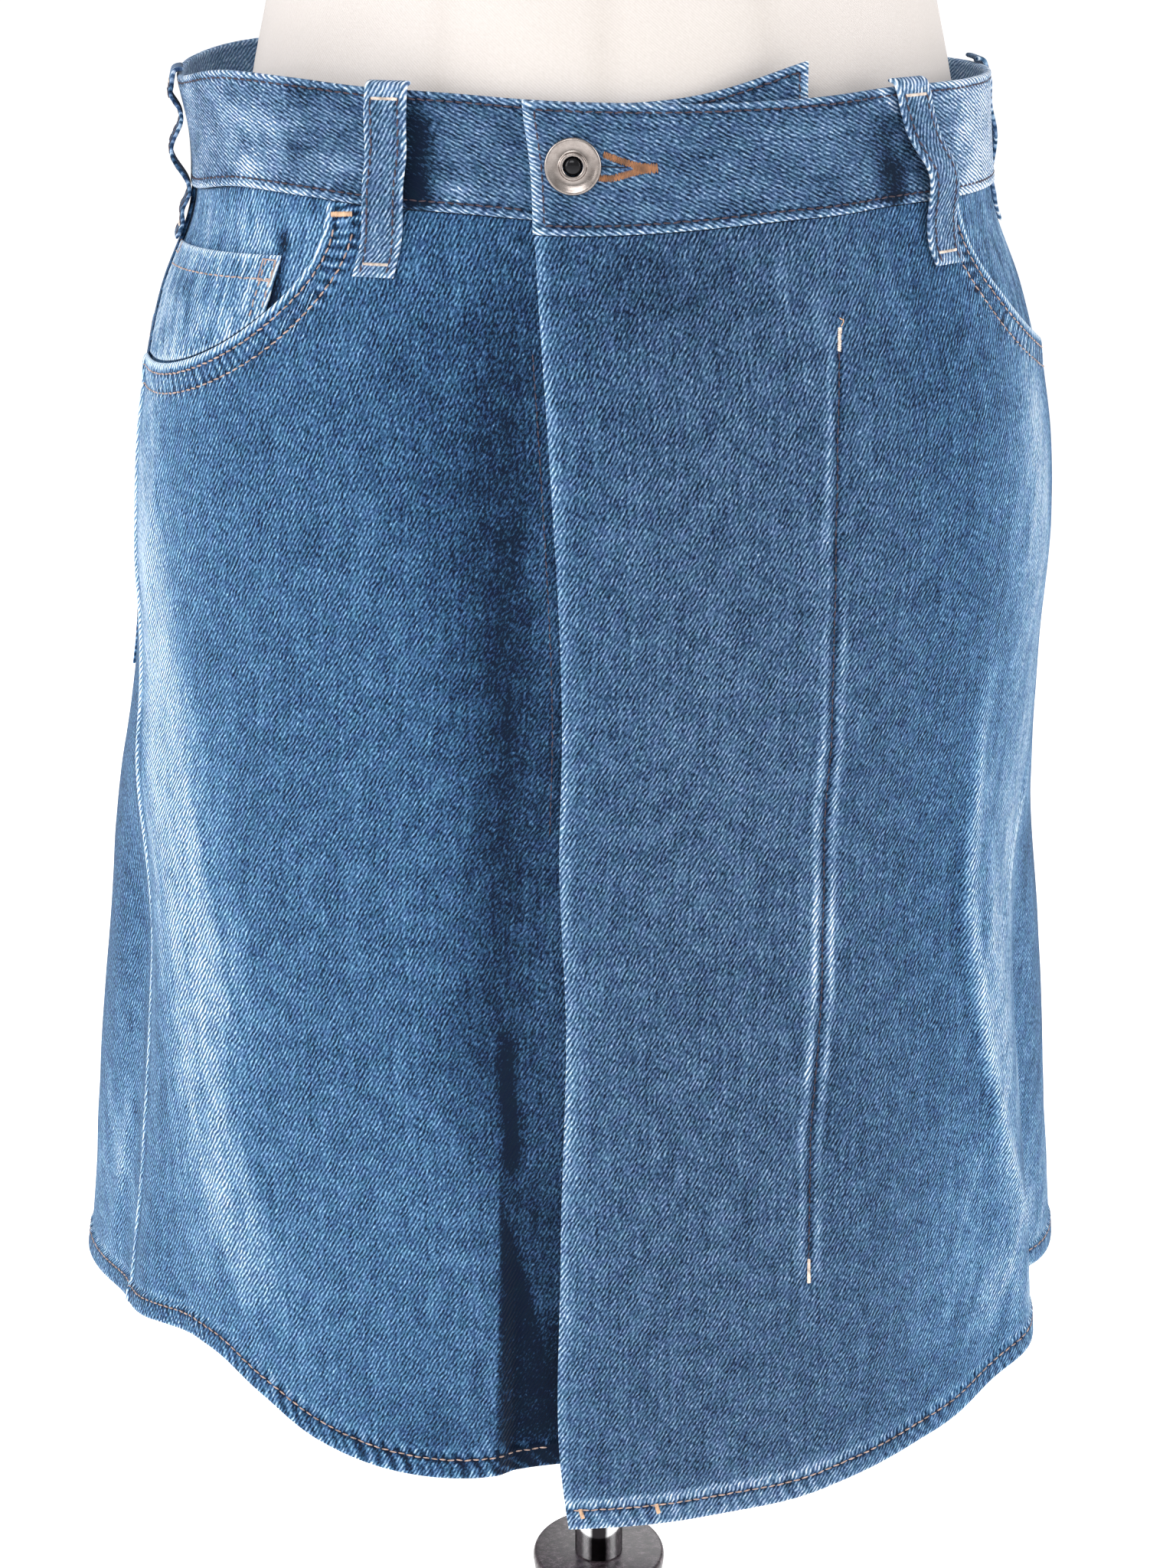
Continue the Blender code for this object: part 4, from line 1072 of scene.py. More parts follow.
# The pale streaks are fading wear; the dark streak on the left facing beside the coin pocket's edge and the
# darkest one beside the over panel's edge are painted shadow.
wearAndShadeStreaks = {  # long soft pale or dark streaks: line, width, paleness
    "waistband_over": [([(27.3, -0.004), (29.6, 0.001), (31.6, 0.0075)], 0.0012, 1.2)],
    "pocket_facing_left": [([(-53.4, 0.046), (-53.2, 0.056), (-52.4, 0.072), (-51.2, 0.090)], 0.0027, -0.90)],
    "front_under": [
        ([(-84.0, 0.12), (-80.0, 0.19), (-75.0, 0.25), (-69.0, 0.30), (-63.0, 0.35), (-58.0, 0.40),
          (-53.0, 0.44), (-48.0, 0.49)], 0.0360, 0.52),
        ([(-81.0, 0.262), (-74.4, 0.296), (-67.3, 0.324), (-60.2, 0.353), (-53.6, 0.382), (-50.6, 0.409),
          (-46.7, 0.443), (-42.5, 0.475)], 0.0095, 0.15),
        ([(-80.0, 0.12), (-76.5, 0.165), (-75.0, 0.205), (-71.0, 0.245), (-64.3, 0.277), (-60.7, 0.306),
          (-56.5, 0.335)], 0.0110, 0.18),
        ([(-86.0, 0.20), (-83.0, 0.245), (-78.0, 0.28)], 0.0040, 0.14),
        ([(-72.0, 0.335), (-66.0, 0.372), (-60.0, 0.400), (-55.0, 0.430)], 0.0060, 0.22),
        ([(-88.5, 0.27), (-84.0, 0.33), (-80.0, 0.38), (-78.0, 0.43)], 0.0070, -0.16),
        ([(-17.8, 0.335), (-17.6, 0.360), (-17.2, 0.378), (-17.2, 0.400)], 0.0021, -1.20),
    ],
    "front_over": [
        ([(44.0, 0.19), (43.0, 0.28), (46.5, 0.35), (52.0, 0.43)], 0.010, 0.26),
        ([(43.0, 0.29), (44.0, 0.33), (44.5, 0.38), (46.0, 0.42), (50.0, 0.47)], 0.009, 0.42),
        ([(58.0, 0.12), (62.0, 0.20), (66.0, 0.28), (72.0, 0.36)], 0.012, 0.18),
        ([(50.0, 0.36), (60.0, 0.44), (72.0, 0.50)], 0.010, 0.34),
    ],
}
overStitching = [  # the line of stitching down the over panel
    (17.3, 0.0775), (16.8, 0.0859), (15.3, 0.1177), (14.7, 0.1498), (14.8, 0.1831), (15.6, 0.2289),
    (15.5, 0.2528), (15.8, 0.2842), (15.4, 0.3213), (14.5, 0.3533), (13.6, 0.3819), (13.2, 0.4344),
    (13.2, 0.4446),
]

recessWedge = np.array([  # depth, and the angle where the darkest painted shadow in the recess ends
    (0.370, -18.6), (0.404, -18.2), (0.416, -17.6), (0.442, -15.9), (0.458, -14.9), (0.490, -13.6),
    (0.520, -13.0),
])


def overDrift(angle, depth):  # how far the over panel's cloth has moved round to follow its edge
    drift = through(overLine, depth) - garment["overEdge"]
    return drift * (1.0 - ease((angle - garment["overEdge"]) / overLineReach))


def panelInner(angle, depth, over, back):
    if back:
        return seatOut(depth)
    return seatOut(depth) + lipOut(angle, depth, over) + (lapOut if over else recessOut)(angle, depth)


def hemThickness(fromHem):
    extra = garment["hemCloth"] - garment["cloth"]
    return garment["cloth"] + extra * ease((garment["hemFold"] - fromHem) / panels["hemStep"] + 0.5)


def mouthCurve(over, count=46):  # points at even steps along the pocket mouth
    sign = 1.0 if over else -1.0
    share = np.linspace(0.0, 1.0, 400) ** 3
    column = garment["mouthStart"] + (garment["sideSeam"] - garment["mouthStart"]) * share
    depth = mouthDepth(sign * column, over)
    length = runLength(np.column_stack([column * degreeOfCloth["average"], depth]))
    place = np.linspace(0.0, length[-1], count)
    return np.column_stack([sign * np.interp(place, length, column), np.interp(place, length, depth)])


def hemRelief(angle, depth, fromHem, over, seed):  # rise and paleness of the hem, roped where it is sewn
    along = angle * perDegree(depth)
    atHem = 1.0 - ease((fromHem - hemLook["reach"]) / hemLook["reachSoft"])
    slanting = 0.35 + 0.35 * softNoise(along / 0.03, 0.0, 12)
    gathered = along + slanting * fromHem + 0.0014 * softNoise(along / 0.011, fromHem / 0.006, 13 + seed)
    strong = hemLook["strength"][over] + 0.5 * softNoise(along / 0.019, fromHem / 0.01, 14 + seed)
    rope = 0.45 + (puckers(gathered, hemLook["pitch"], 11 + seed) - 0.45) * strong
    toSide = ease((angle - hemLook["sideStarts"]) / hemLook["sideTurn"])
    foldPale, foldWidth = hemLook["fold"]
    above, aboveWidth = hemLook["above"]
    rise, pale = sunkLines(fromHem, hemLook["sunk"])
    rise += hemLook["pucker"] * (rope - 0.5) * atHem * ease(fromHem / 0.0015)
    pale += hemLook["ropePale"] * (rope - 0.42) * atHem
    pale += foldPale * bell(fromHem, foldWidth) * (0.75 + 0.25 * softNoise(along / 0.006, 0.0, 5))
    pale += (0.60 - 0.34 * toSide if over else 0.28) * (0.8 + 0.4 * rope) * bell(fromHem - above, aboveWidth)
    pale += (0.24 - 0.20 * toSide if over else -0.08) * atHem
    return rise, pale


def mouthRelief(angle, depth, over):  # the same of a pocket mouth
    away, way = nearLine(angle, depth, mouthCurve(over))
    inMouth = ease((mouthLook["reach"] - away) / mouthLook["soft"])
    rope = puckers(mouthLook["length"] * way + 0.25 * away, mouthLook["pitch"], 23)
    sewnPart = 1.0 - ease((away - mouthLook["sewn"]) / mouthLook["soft"])
    flat, fade, edgePale = mouthLook["edge"]
    rise, pale = sunkLines(away, mouthLook["sunk"])
    rise += sewnPart * mouthLook["pucker"] * (rope - 0.5) * ease(away / 0.002)
    pale += sewnPart * mouthLook["ropePale"] * (rope - 0.42) * ease((away - 0.0020) / 0.003)
    pale += edgePale * bell(np.maximum(away - flat, 0.0), fade)
    return rise * inMouth, pale * inMouth


def firmLineRelief(angle, depth):  # the same of the line of stitching down the over panel
    away, way = nearLine(angle, depth, overStitching)
    leftOf = angle < through(np.array([(depth, angle) for angle, depth in overStitching]), depth)
    rubbed = np.clip(0.55 + 0.45 * softNoise(depth / 0.016, angle / 40.0, 4), 0.1, 1.0)
    rubbed *= np.where(leftOf, 0.55 + 0.35 * ease((depth - 0.19) / 0.05), 0.75 * ease((depth - 0.15) / 0.04))
    rubbed += 0.40 * bell(depth - 0.305, 0.028)
    rise, pale = sunkLines(away, [(0.0, 0.00042, 0.0010, 0.42, 0.0009)])
    rise += 0.00026 * bell(away - 0.0027, 0.0012)
    pale += rubbed * bell(away - 0.0029, 0.0013)
    lineEnds = lineFade(way, 0.04)
    return rise * lineEnds, pale * lineEnds


def recessShade(angle, depth):  # painted shade beside the over panel's edge, and painted shadow in the recess, whose cloth is also less faded
    edge = through(overLine, depth)
    shade = bell(np.maximum(edge - angle, 0.0) * perDegree(depth), 0.012)
    inside = ease((through(recessWedge, depth) - angle) / 0.8 + 0.5)
    lower = ease((depth - 0.452) / 0.025)
    dark = (0.20 + 0.42 * lower) * (1.0 - inside) + (0.92 - 0.22 * lower) * inside
    dark = dark * ease((angle + 18.5) / 0.6) * ease((depth - 0.392) / 0.014)
    return -0.20 * shade * ease((depth - 0.05) / 0.03) - dark


def seamRelief(away, depth, back):  # rise and paleness beside a side seam or the centre back's, with painted shadow beside the welt
    if back:
        dark, width = seamLook["backDark"]
        return 0.0, -dark * bell(away, width)
    flat, fade, weltPale, weltRise = seamLook["fell"]
    beside, besideWidth, weltShadow = seamLook["beside"]
    welt = bell(np.maximum(away - flat, 0.0), fade)
    uneven = 0.82 + 0.30 * softNoise(depth / 0.013, 0.0, 7) + 0.18 * softNoise(depth / 0.0035, 0.0, 6)
    return weltRise * welt, weltPale * welt * uneven - weltShadow * bell(away - beside, besideWidth)


def makePanel(name, start, stop, over, back):
    columns = spaced(start, stop, panels["backStep" if back else "columnStep"], panels["columnClose"])
    if name == "front_over":
        low, high, step = panels["firmLine"]
        columns = columns[(columns < low) | (columns > high)]
        columns = np.sort(np.concatenate([columns, np.arange(low, high, step)]))
    ends = panels["topClose"], panels["hemClose"]
    dense = 0 if back else panels["denseRows"]
    rows = shareRows(panels["rowCount"], panels["firstShare"], panels["lastShare"], *ends, dense=dense)

    def lay(column, row):
        top = panelTop(column, over) if back else mouthDepth(column, over)
        low = hemDepth(column, over)
        depth = top + (low - top) * row[:, 0] + row[:, 1]
        angle = column + overDrift(column, depth) if over and not back else column
        fromTop, fromHem, fromLeft, fromRight, edge = toEdges(column, columns, depth, top, low)
        seamSide = np.minimum(fromLeft, fromRight) if back else (fromRight if over else fromLeft)
        reliefs = [
            creaseRelief(angle, depth, creases[name]),
            (cockle(angle, depth, len(name)) * ease(fromTop / 0.02), wearAndShadePale(name, angle, depth)),
            hemRelief(angle, depth, fromHem, over, len(name)),
            seamRelief(seamSide, depth, back),
        ]
        if not back:
            reliefs.append(mouthRelief(angle, depth, over))
        covered = 0.0
        if name == "front_over":
            reliefs.append(firmLineRelief(angle, depth))
            edgeUneven = 0.8 + 0.2 * softNoise(depth / 0.02, 0.0, 9)
            reliefs.append((0.0, 0.60 * bell(fromLeft, 0.0027) * edgeUneven - 0.03))
        elif name == "front_under":
            covered = ease((angle - through(overLine, depth) + 0.9) / 1.6)
            # painted shade beside the over panel's edge and in the recess, and paler toward the left side,
            # partly painted side light and partly fading
            reliefs.append((0.0, recessShade(angle, depth) + 0.03 + 0.14 * ease((-angle - 46.0) / 24.0)))
        rise = sum(one for one, other in reliefs) * (1.0 - covered)
        pale = sum(other for one, other in reliefs)
        rise = rise * (ease(edge / 0.004) if back else ease((edge + 0.0008) / 0.0024))
        inner = panelInner(angle, depth, over, back)
        shape = rounding(edge, panels["edgeRound"])
        faces = bothFaces(inner, hemThickness(fromHem), shape, rise, panels["showsInside"])
        return angle, depth, *faces, pale

    return finishCloth(clothShell(columns, rows, lay, teal=1.0), name)


sideSeam, backSeam, seamGap = garment["sideSeam"], 180.0, garment["sideGap"]
frontUnder = makePanel("front_under", seamGap - sideSeam, garment["underEdge"], False, False)
frontOver = makePanel("front_over", garment["overEdge"], sideSeam - seamGap, True, False)
backLeft = makePanel("back_left", seamGap - backSeam, -sideSeam - seamGap, False, True)
backRight = makePanel("back_right", sideSeam + seamGap, backSeam - seamGap, True, True)
print("panels laid")

# ---- where the sewing runs, in metres from the edges
sewing = {
    "pitch": 0.0033,
    "half": 0.00148,  # half a stitch's length
    "radius": 0.00036,
    "fineRadius": 0.00026,
    "barPitch": 0.00042,
    "barRadius": 0.00030,
    "hemUp": 0.0086,
    "mouthRows": (0.0039, 0.0110),
    "bandTop": 0.0026,
    "bandLow": 0.0034,
    "bandEnd": 0.0032,
    "coinTop": 0.0084,
    "coinRows": (0.0018, 0.0064),
    "pocketRows": (0.0020, 0.0080),
    "pocketTop": 0.0120,
    "seamRows": (0.0016, 0.0080),
    "loopSide": 0.0026,
}

# ---- the waistband
band = {
    "columnStep": 0.45,
    "rowCount": 15,
    "firstShare": 0.155,
    "close": (0.0, 0.0002, 0.0006, 0.0012, 0.0020, 0.0026, 0.0031, 0.0036, 0.0042, 0.0050),
    "edgeRound": 0.0012,
    "pitch": 0.0034,
    "pucker": 0.00016,
    "sewnReach": (0.0040, 0.003),
    "ropePale": 0.55,
    "sunk": (0.00020, 0.0006, 0.46, 0.0006),  # at each row: how deep and wide, and how dark and wide the painted shade in its groove is
    "edges": {"top": (41, 0.45), "low": (43, 0.66)},  # seed and paleness of the rolled edges
    "freeEnd": (0.85, 0.0030),
    "showsInside": 0.5,
}


def bandPale(column, over):  # broad paler and darker parts round the band
    if over:
        return 0.92 * ease((column - 38.0) / 12.0) - 0.50 * ease((column - 92.0) / 66.0)
    return 0.29 * ease((-column - 42.0) / 14.0) + 0.12 * ease((-column - 96.0) / 60.0)


def makeBand(name, start, stop, over):
    columns = spaced(start, stop, band["columnStep"], panels["columnClose"])
    first = band["firstShare"]
    rows = shareRows(band["rowCount"], first, 1.0 - first, band["close"], band["close"])

    def lay(column, row):
        top = bandTop(column, over)
        low = bandBottom(column, over)
        depth = top + (low - top) * row[:, 0] + row[:, 1]
        fromTop, fromLow, fromLeft, fromRight, edge = toEdges(column, columns, depth, top, low)
        along = column * perDegree(depth)
        patches = softNoise(along / 0.013 + depth / 0.02, depth / 0.009, 8)
        patches = patches + 0.6 * softNoise(along / 0.006, depth / 0.005, 9)
        patchy = 0.07 + 0.20 * ease((-column - 36.0) / 14.0) + 0.20 * ease((column - 24.0) / 10.0)
        rise = cockle(column, depth, 31 + over) * 0.7
        pale = patchy * patches + bandPale(column, over) + wearAndShadePale(name, column, depth)
        endPale, endWidth = band["freeEnd"]
        pale += endPale * bell(fromLeft if over else fromRight, endWidth)
        for away, place, kind in ((fromTop, "bandTop", "top"), (fromLow, "bandLow", "low")):
            seed, rolled = band["edges"][kind]
            sewnPart = 1.0 - ease((away - band["sewnReach"][0]) / band["sewnReach"][1])
            rope = puckers(along - 0.7 * away, band["pitch"], seed + over)
            uneven = 0.85 + 0.3 * softNoise(along / 0.012, 0.0, seed + 9)
            sunkRise, sunkPale = sunkLines(away, [(sewing[place], *band["sunk"])])
            rise += sewnPart * band["pucker"] * (rope - 0.5) + sunkRise
            pale += sewnPart * band["ropePale"] * (rope - 0.45) + sunkPale
            pale += rolled * uneven * bell(np.maximum(away - 0.0007, 0.0), 0.0011)
        if not over:  # smooth where the over tab lies on it
            beside = ease((column - garment["overEdge"] + 1.0) / 1.5)
            rise = rise * (1.0 - beside * ease((depth + 0.004) / 0.004))
        inner = garment["bandLap"] * onTop(column) if over else 0.0
        shape = rounding(edge, band["edgeRound"])
        faces = bothFaces(inner, garment["bandCloth"], shape, rise * ease(edge / 0.002), band["showsInside"])
        return column, depth, *faces, pale

    return finishCloth(clothShell(columns, rows, lay, turnedCloth=True), name)


bandUnder = makeBand("waistband_under", seamGap - backSeam, garment["underEdge"], False)
bandOver = makeBand("waistband_over", garment["overEdge"], backSeam - seamGap, True)
print("waistband laid")

# ---- the cloth inside the pocket mouths, the coin pocket and the back pockets
patch = {
    "rowClose": (0.0, 0.0003, 0.0008, 0.0015, 0.0026),
    "columnClose": (0.0, 0.10, 0.28, 0.55, 0.95),
    "edgeRound": 0.0008,
    "pitch": 0.0034,
    "pucker": 0.00014,
    "edgeWidth": 0.0016,
    "ropePale": 0.80,  # beside the edge's own paleness
    "teal": 0.9,
}
facing = {
    "out": -garment["cloth"] - garment["gap"],
    "near": garment["mouthStart"] - 3.0,
    "underlap": 0.014,
    "columnStep": 0.45,
    "rows": (30, 0.06),  # how many, and how far down the first is, as a share
    "look": {"paleness": 0.24, "edgePale": 0.0, "streaks": 0.30},
}
coin = {
    "side": 53.0,  # degrees from the centre front
    "end": 1.0,  # degrees short of the side seam
    "top": 0.0555,
    "slope": 0.0055,
    "gap": 0.0008,
    "columnStep": 0.4,
    "rows": (30, 0.12),
    "look": {"paleness": 0.54, "edgePale": 0.60, "streaks": 0.42},
}
backPocket = {
    "middle": 130.0,  # degrees from the centre front, and half its width there
    "half": 27.0,
    "top": 0.095,
    "bottom": 0.236,
    "point": 0.018,
    "blunt": 1.2,
    "taper": 0.08,
    "lift": 0.0005,
    "columnStep": 1.0,
    "rows": (52, 0.03),
    "look": {"paleness": 0.03, "edgePale": 0.25},
}


def patchShell(name, sides, piece, layOut, thick):  # layOut gives angle, depth, inner face, top and foot
    count, first = piece["rows"]
    columns = spaced(*sides, piece["columnStep"], patch["columnClose"])
    rows = shareRows(count, first, 1.0 - first, patch["rowClose"], patch["rowClose"])
    edgePale = piece["look"]["edgePale"]

    def lay(column, row):
        angle, depth, inner, top, low = layOut(column, row)
        edges = toEdges(column, columns, depth, top, low)
        edge = edges[-1]
        across = angle * perDegree(depth)
        along = np.where(edge == np.minimum(*edges[:2]), across, depth)
        rope = puckers(along + 0.5 * edge, patch["pitch"], 61 + len(name))
        sewnPart = 1.0 - ease((edge - 0.008) / 0.004)
        rise = 0.5 * cockle(angle, depth, 3 + len(name)) + patch["pucker"] * (rope - 0.5) * sewnPart
        pale = piece["look"]["paleness"] + wearAndShadePale(name, angle, depth)
        pale += edgePale * (bell(edge, patch["edgeWidth"]) + patch["ropePale"] * (rope - 0.45) * sewnPart)
        lines = softNoise(across / 0.0020, depth / 0.012, 17 + len(name))
        lines = lines + 0.7 * softNoise(angle / 5.0, depth / 0.009, 19 + len(name))
        pale += piece["look"].get("streaks", 0.0) * lines
        shape = rounding(edge, patch["edgeRound"])
        return angle, depth, *bothFaces(inner, thick, shape, rise * ease(edge / 0.0025)), pale

    return finishCloth(clothShell(columns, rows, lay, teal=patch["teal"]), name)


def shallowDepth(top, low, row):  # rows of a patch that runs out to almost nothing at one side
    return top + (low - top) * row[:, 0] + np.clip(row[:, 1], -0.1 * (low - top), 0.1 * (low - top))


def makeFacing(name, over):
    sides = (facing["near"], sideSeam - seamGap) if over else (seamGap - sideSeam, -facing["near"])

    def layOut(column, row):
        top = panelTop(column, over)
        low = mouthDepth(column, over) + facing["underlap"]
        depth = shallowDepth(top, low, row)
        return column, depth, facing["out"] + seatOut(depth), top, low

    return patchShell(name, sides, facing, layOut, garment["cloth"])


facingLeft = makeFacing("pocket_facing_left", False)
facingRight = makeFacing("pocket_facing_right", True)


def coinTop(column):
    return coin["top"] + coin["slope"] * (np.abs(column) - coin["side"]) / (sideSeam - coin["side"])


def coinPlace(column, row):
    top = coinTop(column)
    low = mouthDepth(column, False) - coin["gap"]
    depth = shallowDepth(top, low, row)
    return column, depth, seatOut(depth), top, low


coinSides = coin["end"] - sideSeam, -coin["side"]
coinPocket = patchShell("coin_pocket", coinSides, coin, coinPlace, garment["pocketCloth"])


def makeBackPocket(name, mirror):
    middle, half = backPocket["middle"], backPocket["half"]
    top = backPocket["top"]
    sides = sorted((mirror * (middle - half), mirror * (middle + half)))

    def layOut(column, row):
        aside = np.sqrt((np.abs(column) - middle) ** 2 + backPocket["blunt"]) / half
        low = backPocket["bottom"] + backPocket["point"] * (1.0 - aside)
        depth = top + (low - top) * row[:, 0] + row[:, 1]
        taper = 1.0 - backPocket["taper"] * ease((depth - top) / (backPocket["bottom"] - top))
        angle = mirror * (middle + (np.abs(column) - middle) * taper)
        return angle, depth, garment["cloth"] + backPocket["lift"] + seatOut(depth), top, low

    return patchShell(name, sides, backPocket, layOut, garment["pocketCloth"])


backPocketLeft = makeBackPocket("back_pocket_left", -1)
backPocketRight = makeBackPocket("back_pocket_right", 1)
print("pockets laid")

# ---- belt loops
loops = {
    "width": 0.0146,
    "cloth": 0.0016,
    "end": 0.0600,
    "rowCount": 64,
    "topRowCount": 14,  # over the band's top edge
    "columnCount": 17,
    "swayDepth": 0.029,
    "swayReach": (0.011, 0.017),  # above and below that
    "sideSway": 0.25,  # degrees
    "ripplePitch": 0.0262,
    "rippleDepth": 0.028,
    "edgeRound": 0.0007,
    "pitch": 0.0034,
    "pucker": 0.00016,
    "sunk": [(0.0026, 0.00018, 0.0005, 0.30, 0.0006)],
    "paleness": 0.24,
    # name: angle, lean, sideways bow, slack, on the over side, ripple outwards, paleness, which on the side
    # loops is painted shade as they are seen edge-on
    "places": {
        "belt_loop_front_left": (-34.7, -2.7, -0.6, 0.0020, False, 0.0, 0.0),
        "belt_loop_front_right": (34.0, 5.0, 2.8, 0.0028, True, 0.0004, 0.0),
        "belt_loop_side_left": (-92.0, 0.5, 0.0, 0.0034, False, 0.0026, -0.42),
        "belt_loop_side_right": (88.0, 0.0, 0.0, 0.0026, True, 0.0008, -0.25),
        "belt_loop_back": (180.0, 0.0, 0.0, 0.0020, True, 0.0, 0.0),
    },
}
loopBends = np.array([  # out, share of the slack, depth, 1 where the depth is measured from the band's top
    (0.0003, 0.0, -0.0012, 1), (0.0018, 0.0, -0.0012, 1), (0.0030, 0.0, -0.0008, 1), (0.0034, 0.1, 0.0008, 1),
    (0.0034, 0.55, 0.0060, 0), (0.0034, 0.95, 0.0170, 0), (0.0034, 1.0, 0.0280, 0), (0.0034, 0.75, 0.0380, 0),
    (0.0031, 0.3, 0.0460, 0), (0.0026, 0.0, 0.0525, 0), (0.0026, 0.0, 0.0600, 0),
])


def loopLine(angle, slack, over, ripple):  # inner face of a loop along it, and the way its thickness goes
    out, slackShare, depth, fromTop = loopBends.T
    bends = np.stack([depth + fromTop * bandTop(angle, over), out + slackShare * slack], axis=1)
    length = runLength(bends)
    table = np.column_stack([length, bends])
    overTop = np.linspace(0.0, length[3], loops["topRowCount"])[:-1]
    place = np.concatenate([overTop, np.linspace(length[3], length[-1], loops["rowCount"])])
    line = np.stack([through(table, place, 1), through(table, place, 2)], axis=1)
    rippled = ease((line[:, 0] - 0.004) / 0.006) * ease((0.055 - line[:, 0]) / 0.008)
    wave = np.cos(2.0 * np.pi * (line[:, 0] - loops["rippleDepth"]) / loops["ripplePitch"])
    line[:, 1] += ripple * rippled * wave
    way = np.gradient(line, axis=0)
    way = way / np.linalg.norm(way, axis=1, keepdims=True)
    return place, line, np.stack([-way[:, 1], way[:, 0]], axis=1)


def loopTurn(name, depth):  # the angle of a loop's middle at a depth
    angle, lean, sway = loops["places"][name][:3]
    reach = np.where(depth < loops["swayDepth"], *loops["swayReach"])
    return angle + lean * depth / loops["end"] + sway * bell(depth - loops["swayDepth"], reach)


def loopHalf(angle):  # degrees from a loop's middle to its edge
    metresPerDegree = np.linalg.norm(skirtPoint(angle + 0.5, 0.02) - skirtPoint(angle - 0.5, 0.02))
    return loops["width"] / 2 / float(metresPerDegree)


def makeLoop(name):
    angle = loops["places"][name][0]
    slack, over, ripple, paintedShade = loops["places"][name][3:]
    place, line, ways = loopLine(angle, slack, over, ripple)
    share = np.sin(np.linspace(-0.5, 0.5, loops["columnCount"]) * math.pi)
    piece, column, row = walledGrid(len(share), len(line), ("denim",))
    depth, out = line[row].T
    down = place[row]
    across = share[column] * loops["width"] / 2
    fromSide = loops["width"] / 2 - np.abs(across)
    edge = np.minimum(fromSide, np.minimum(down, place[-1] - down))
    rope = puckers(down + 0.4 * across, loops["pitch"], 70 + angle)
    sewnPart = 1.0 - ease((fromSide - 0.0032) / 0.002)
    rise, pale = sunkLines(fromSide, loops["sunk"])
    rise += 0.0003 * softNoise(down / 0.011, across / 0.02, angle)
    rise += loops["pucker"] * (rope - 0.5) * sewnPart * ease(edge / 0.0012)
    lowered = ease((down - 0.004) / 0.006)
    sideSway = loops["sideSway"] * softNoise(down / 0.016, 0.0, 3 + angle)
    turn = loopTurn(name, depth) + share[column] * loopHalf(angle)
    turn = turn + sideSway * lowered * ease((place[-1] - down) / 0.01)
    points = []
    for level in reversed(bothFaces(0.0, loops["cloth"], rounding(edge, loops["edgeRound"]), rise * lowered)):
        points.append(skirtPoint(turn, depth + level * ways[row, 0], out + level * ways[row, 1]))
    setPoints(piece, np.concatenate(points))
    setCloth(piece, np.tile(across, 2), np.tile(-down, 2))
    wearAndShade = 0.6 + 0.5 * softNoise(down / 0.004, across / 0.004, 5 + angle)
    # painted shade darkens the side loops, and their worn edges and ends are paler
    pale += loops["paleness"] + paintedShade + 0.80 * wearAndShade * bell(fromSide, 0.0011)
    pale += 0.25 * (rope - 0.45) * sewnPart
    pale += 0.12 * softNoise(down / 0.008, across / 0.006, 9 + angle)
    pale += 0.50 * bell(down - 0.004, 0.003) + 0.75 * wearAndShade * bell(place[-1] - down, 0.003)
    setNumber(piece, "wearAndShade", np.tile(pale, 2))
    faceOutwards(piece)
    smoothTo(shell["smooth"])
    return finishCloth(piece, name)


beltLoops = {name: makeLoop(name) for name in loops["places"]}
print("belt loops bent")

# ---- sewing
stitch = {
    "sides": 6,
    "rings": 4,
    "probe": 0.03,  # metres outside the cloth from where its surface is felt
    "lean": 0.16,
    "length": (0.9, 1.08),
    "sits": 0.12,  # share of its radius above the cloth, and how much that varies
    "sitsBy": (-0.12, 0.10),
    "wide": 1.05,
    "high": 0.85,
    "firstDraw": 100,
}
trees = {}


def clothTree(piece):
    if piece.name not in trees:
        bpy.context.view_layer.update()
        trees[piece.name] = BVHTree.FromObject(piece, bpy.context.evaluated_depsgraph_get())
    return trees[piece.name]


def finer(line, count=160):  # a line of (angle, depth) points with many between
    line = np.array(line, dtype=float)
    place = np.linspace(0, len(line) - 1, max(count, len(line)))
    return np.stack([np.interp(place, range(len(line)), line[:, part]) for part in (0, 1)], axis=1)


def sewnRun(piece, line, pitch, half, radius, across=False):  # one row: where each stitch lies, and its axes
    line = finer(line)
    length = runLength(skirtPoint(line[:, 0], line[:, 1]))
    count = max(1, int(length[-1] / pitch))
    middles = (np.arange(count) + 0.5) * length[-1] / count
    ways = [
        [np.interp(middles + shift, length, line[:, part]) for part in (0, 1)]
        for shift in (-pitch * 0.4, 0.0, pitch * 0.4)
    ]
    starts = [skirtPoint(*way, stitch["probe"]) for way in ways]
    aims = skirtPoint(*ways[1]) - starts[1]
    tree = clothTree(piece)
    stitches = []
    for index in range(count):
        aim = Vector(aims[index].tolist()).normalized()
        before, at, after = (tree.ray_cast(Vector(start[index].tolist()), aim) for start in starts)
        spot, normal = at[0], at[1]
        if spot is None:
            continue
        along = ((after[0] or spot) - (before[0] or spot)).normalized()
        side = normal.cross(along).normalized()
        if across:
            along, side = side, along
        stitches.append((spot, along, side, normal, half, radius))
    return stitches


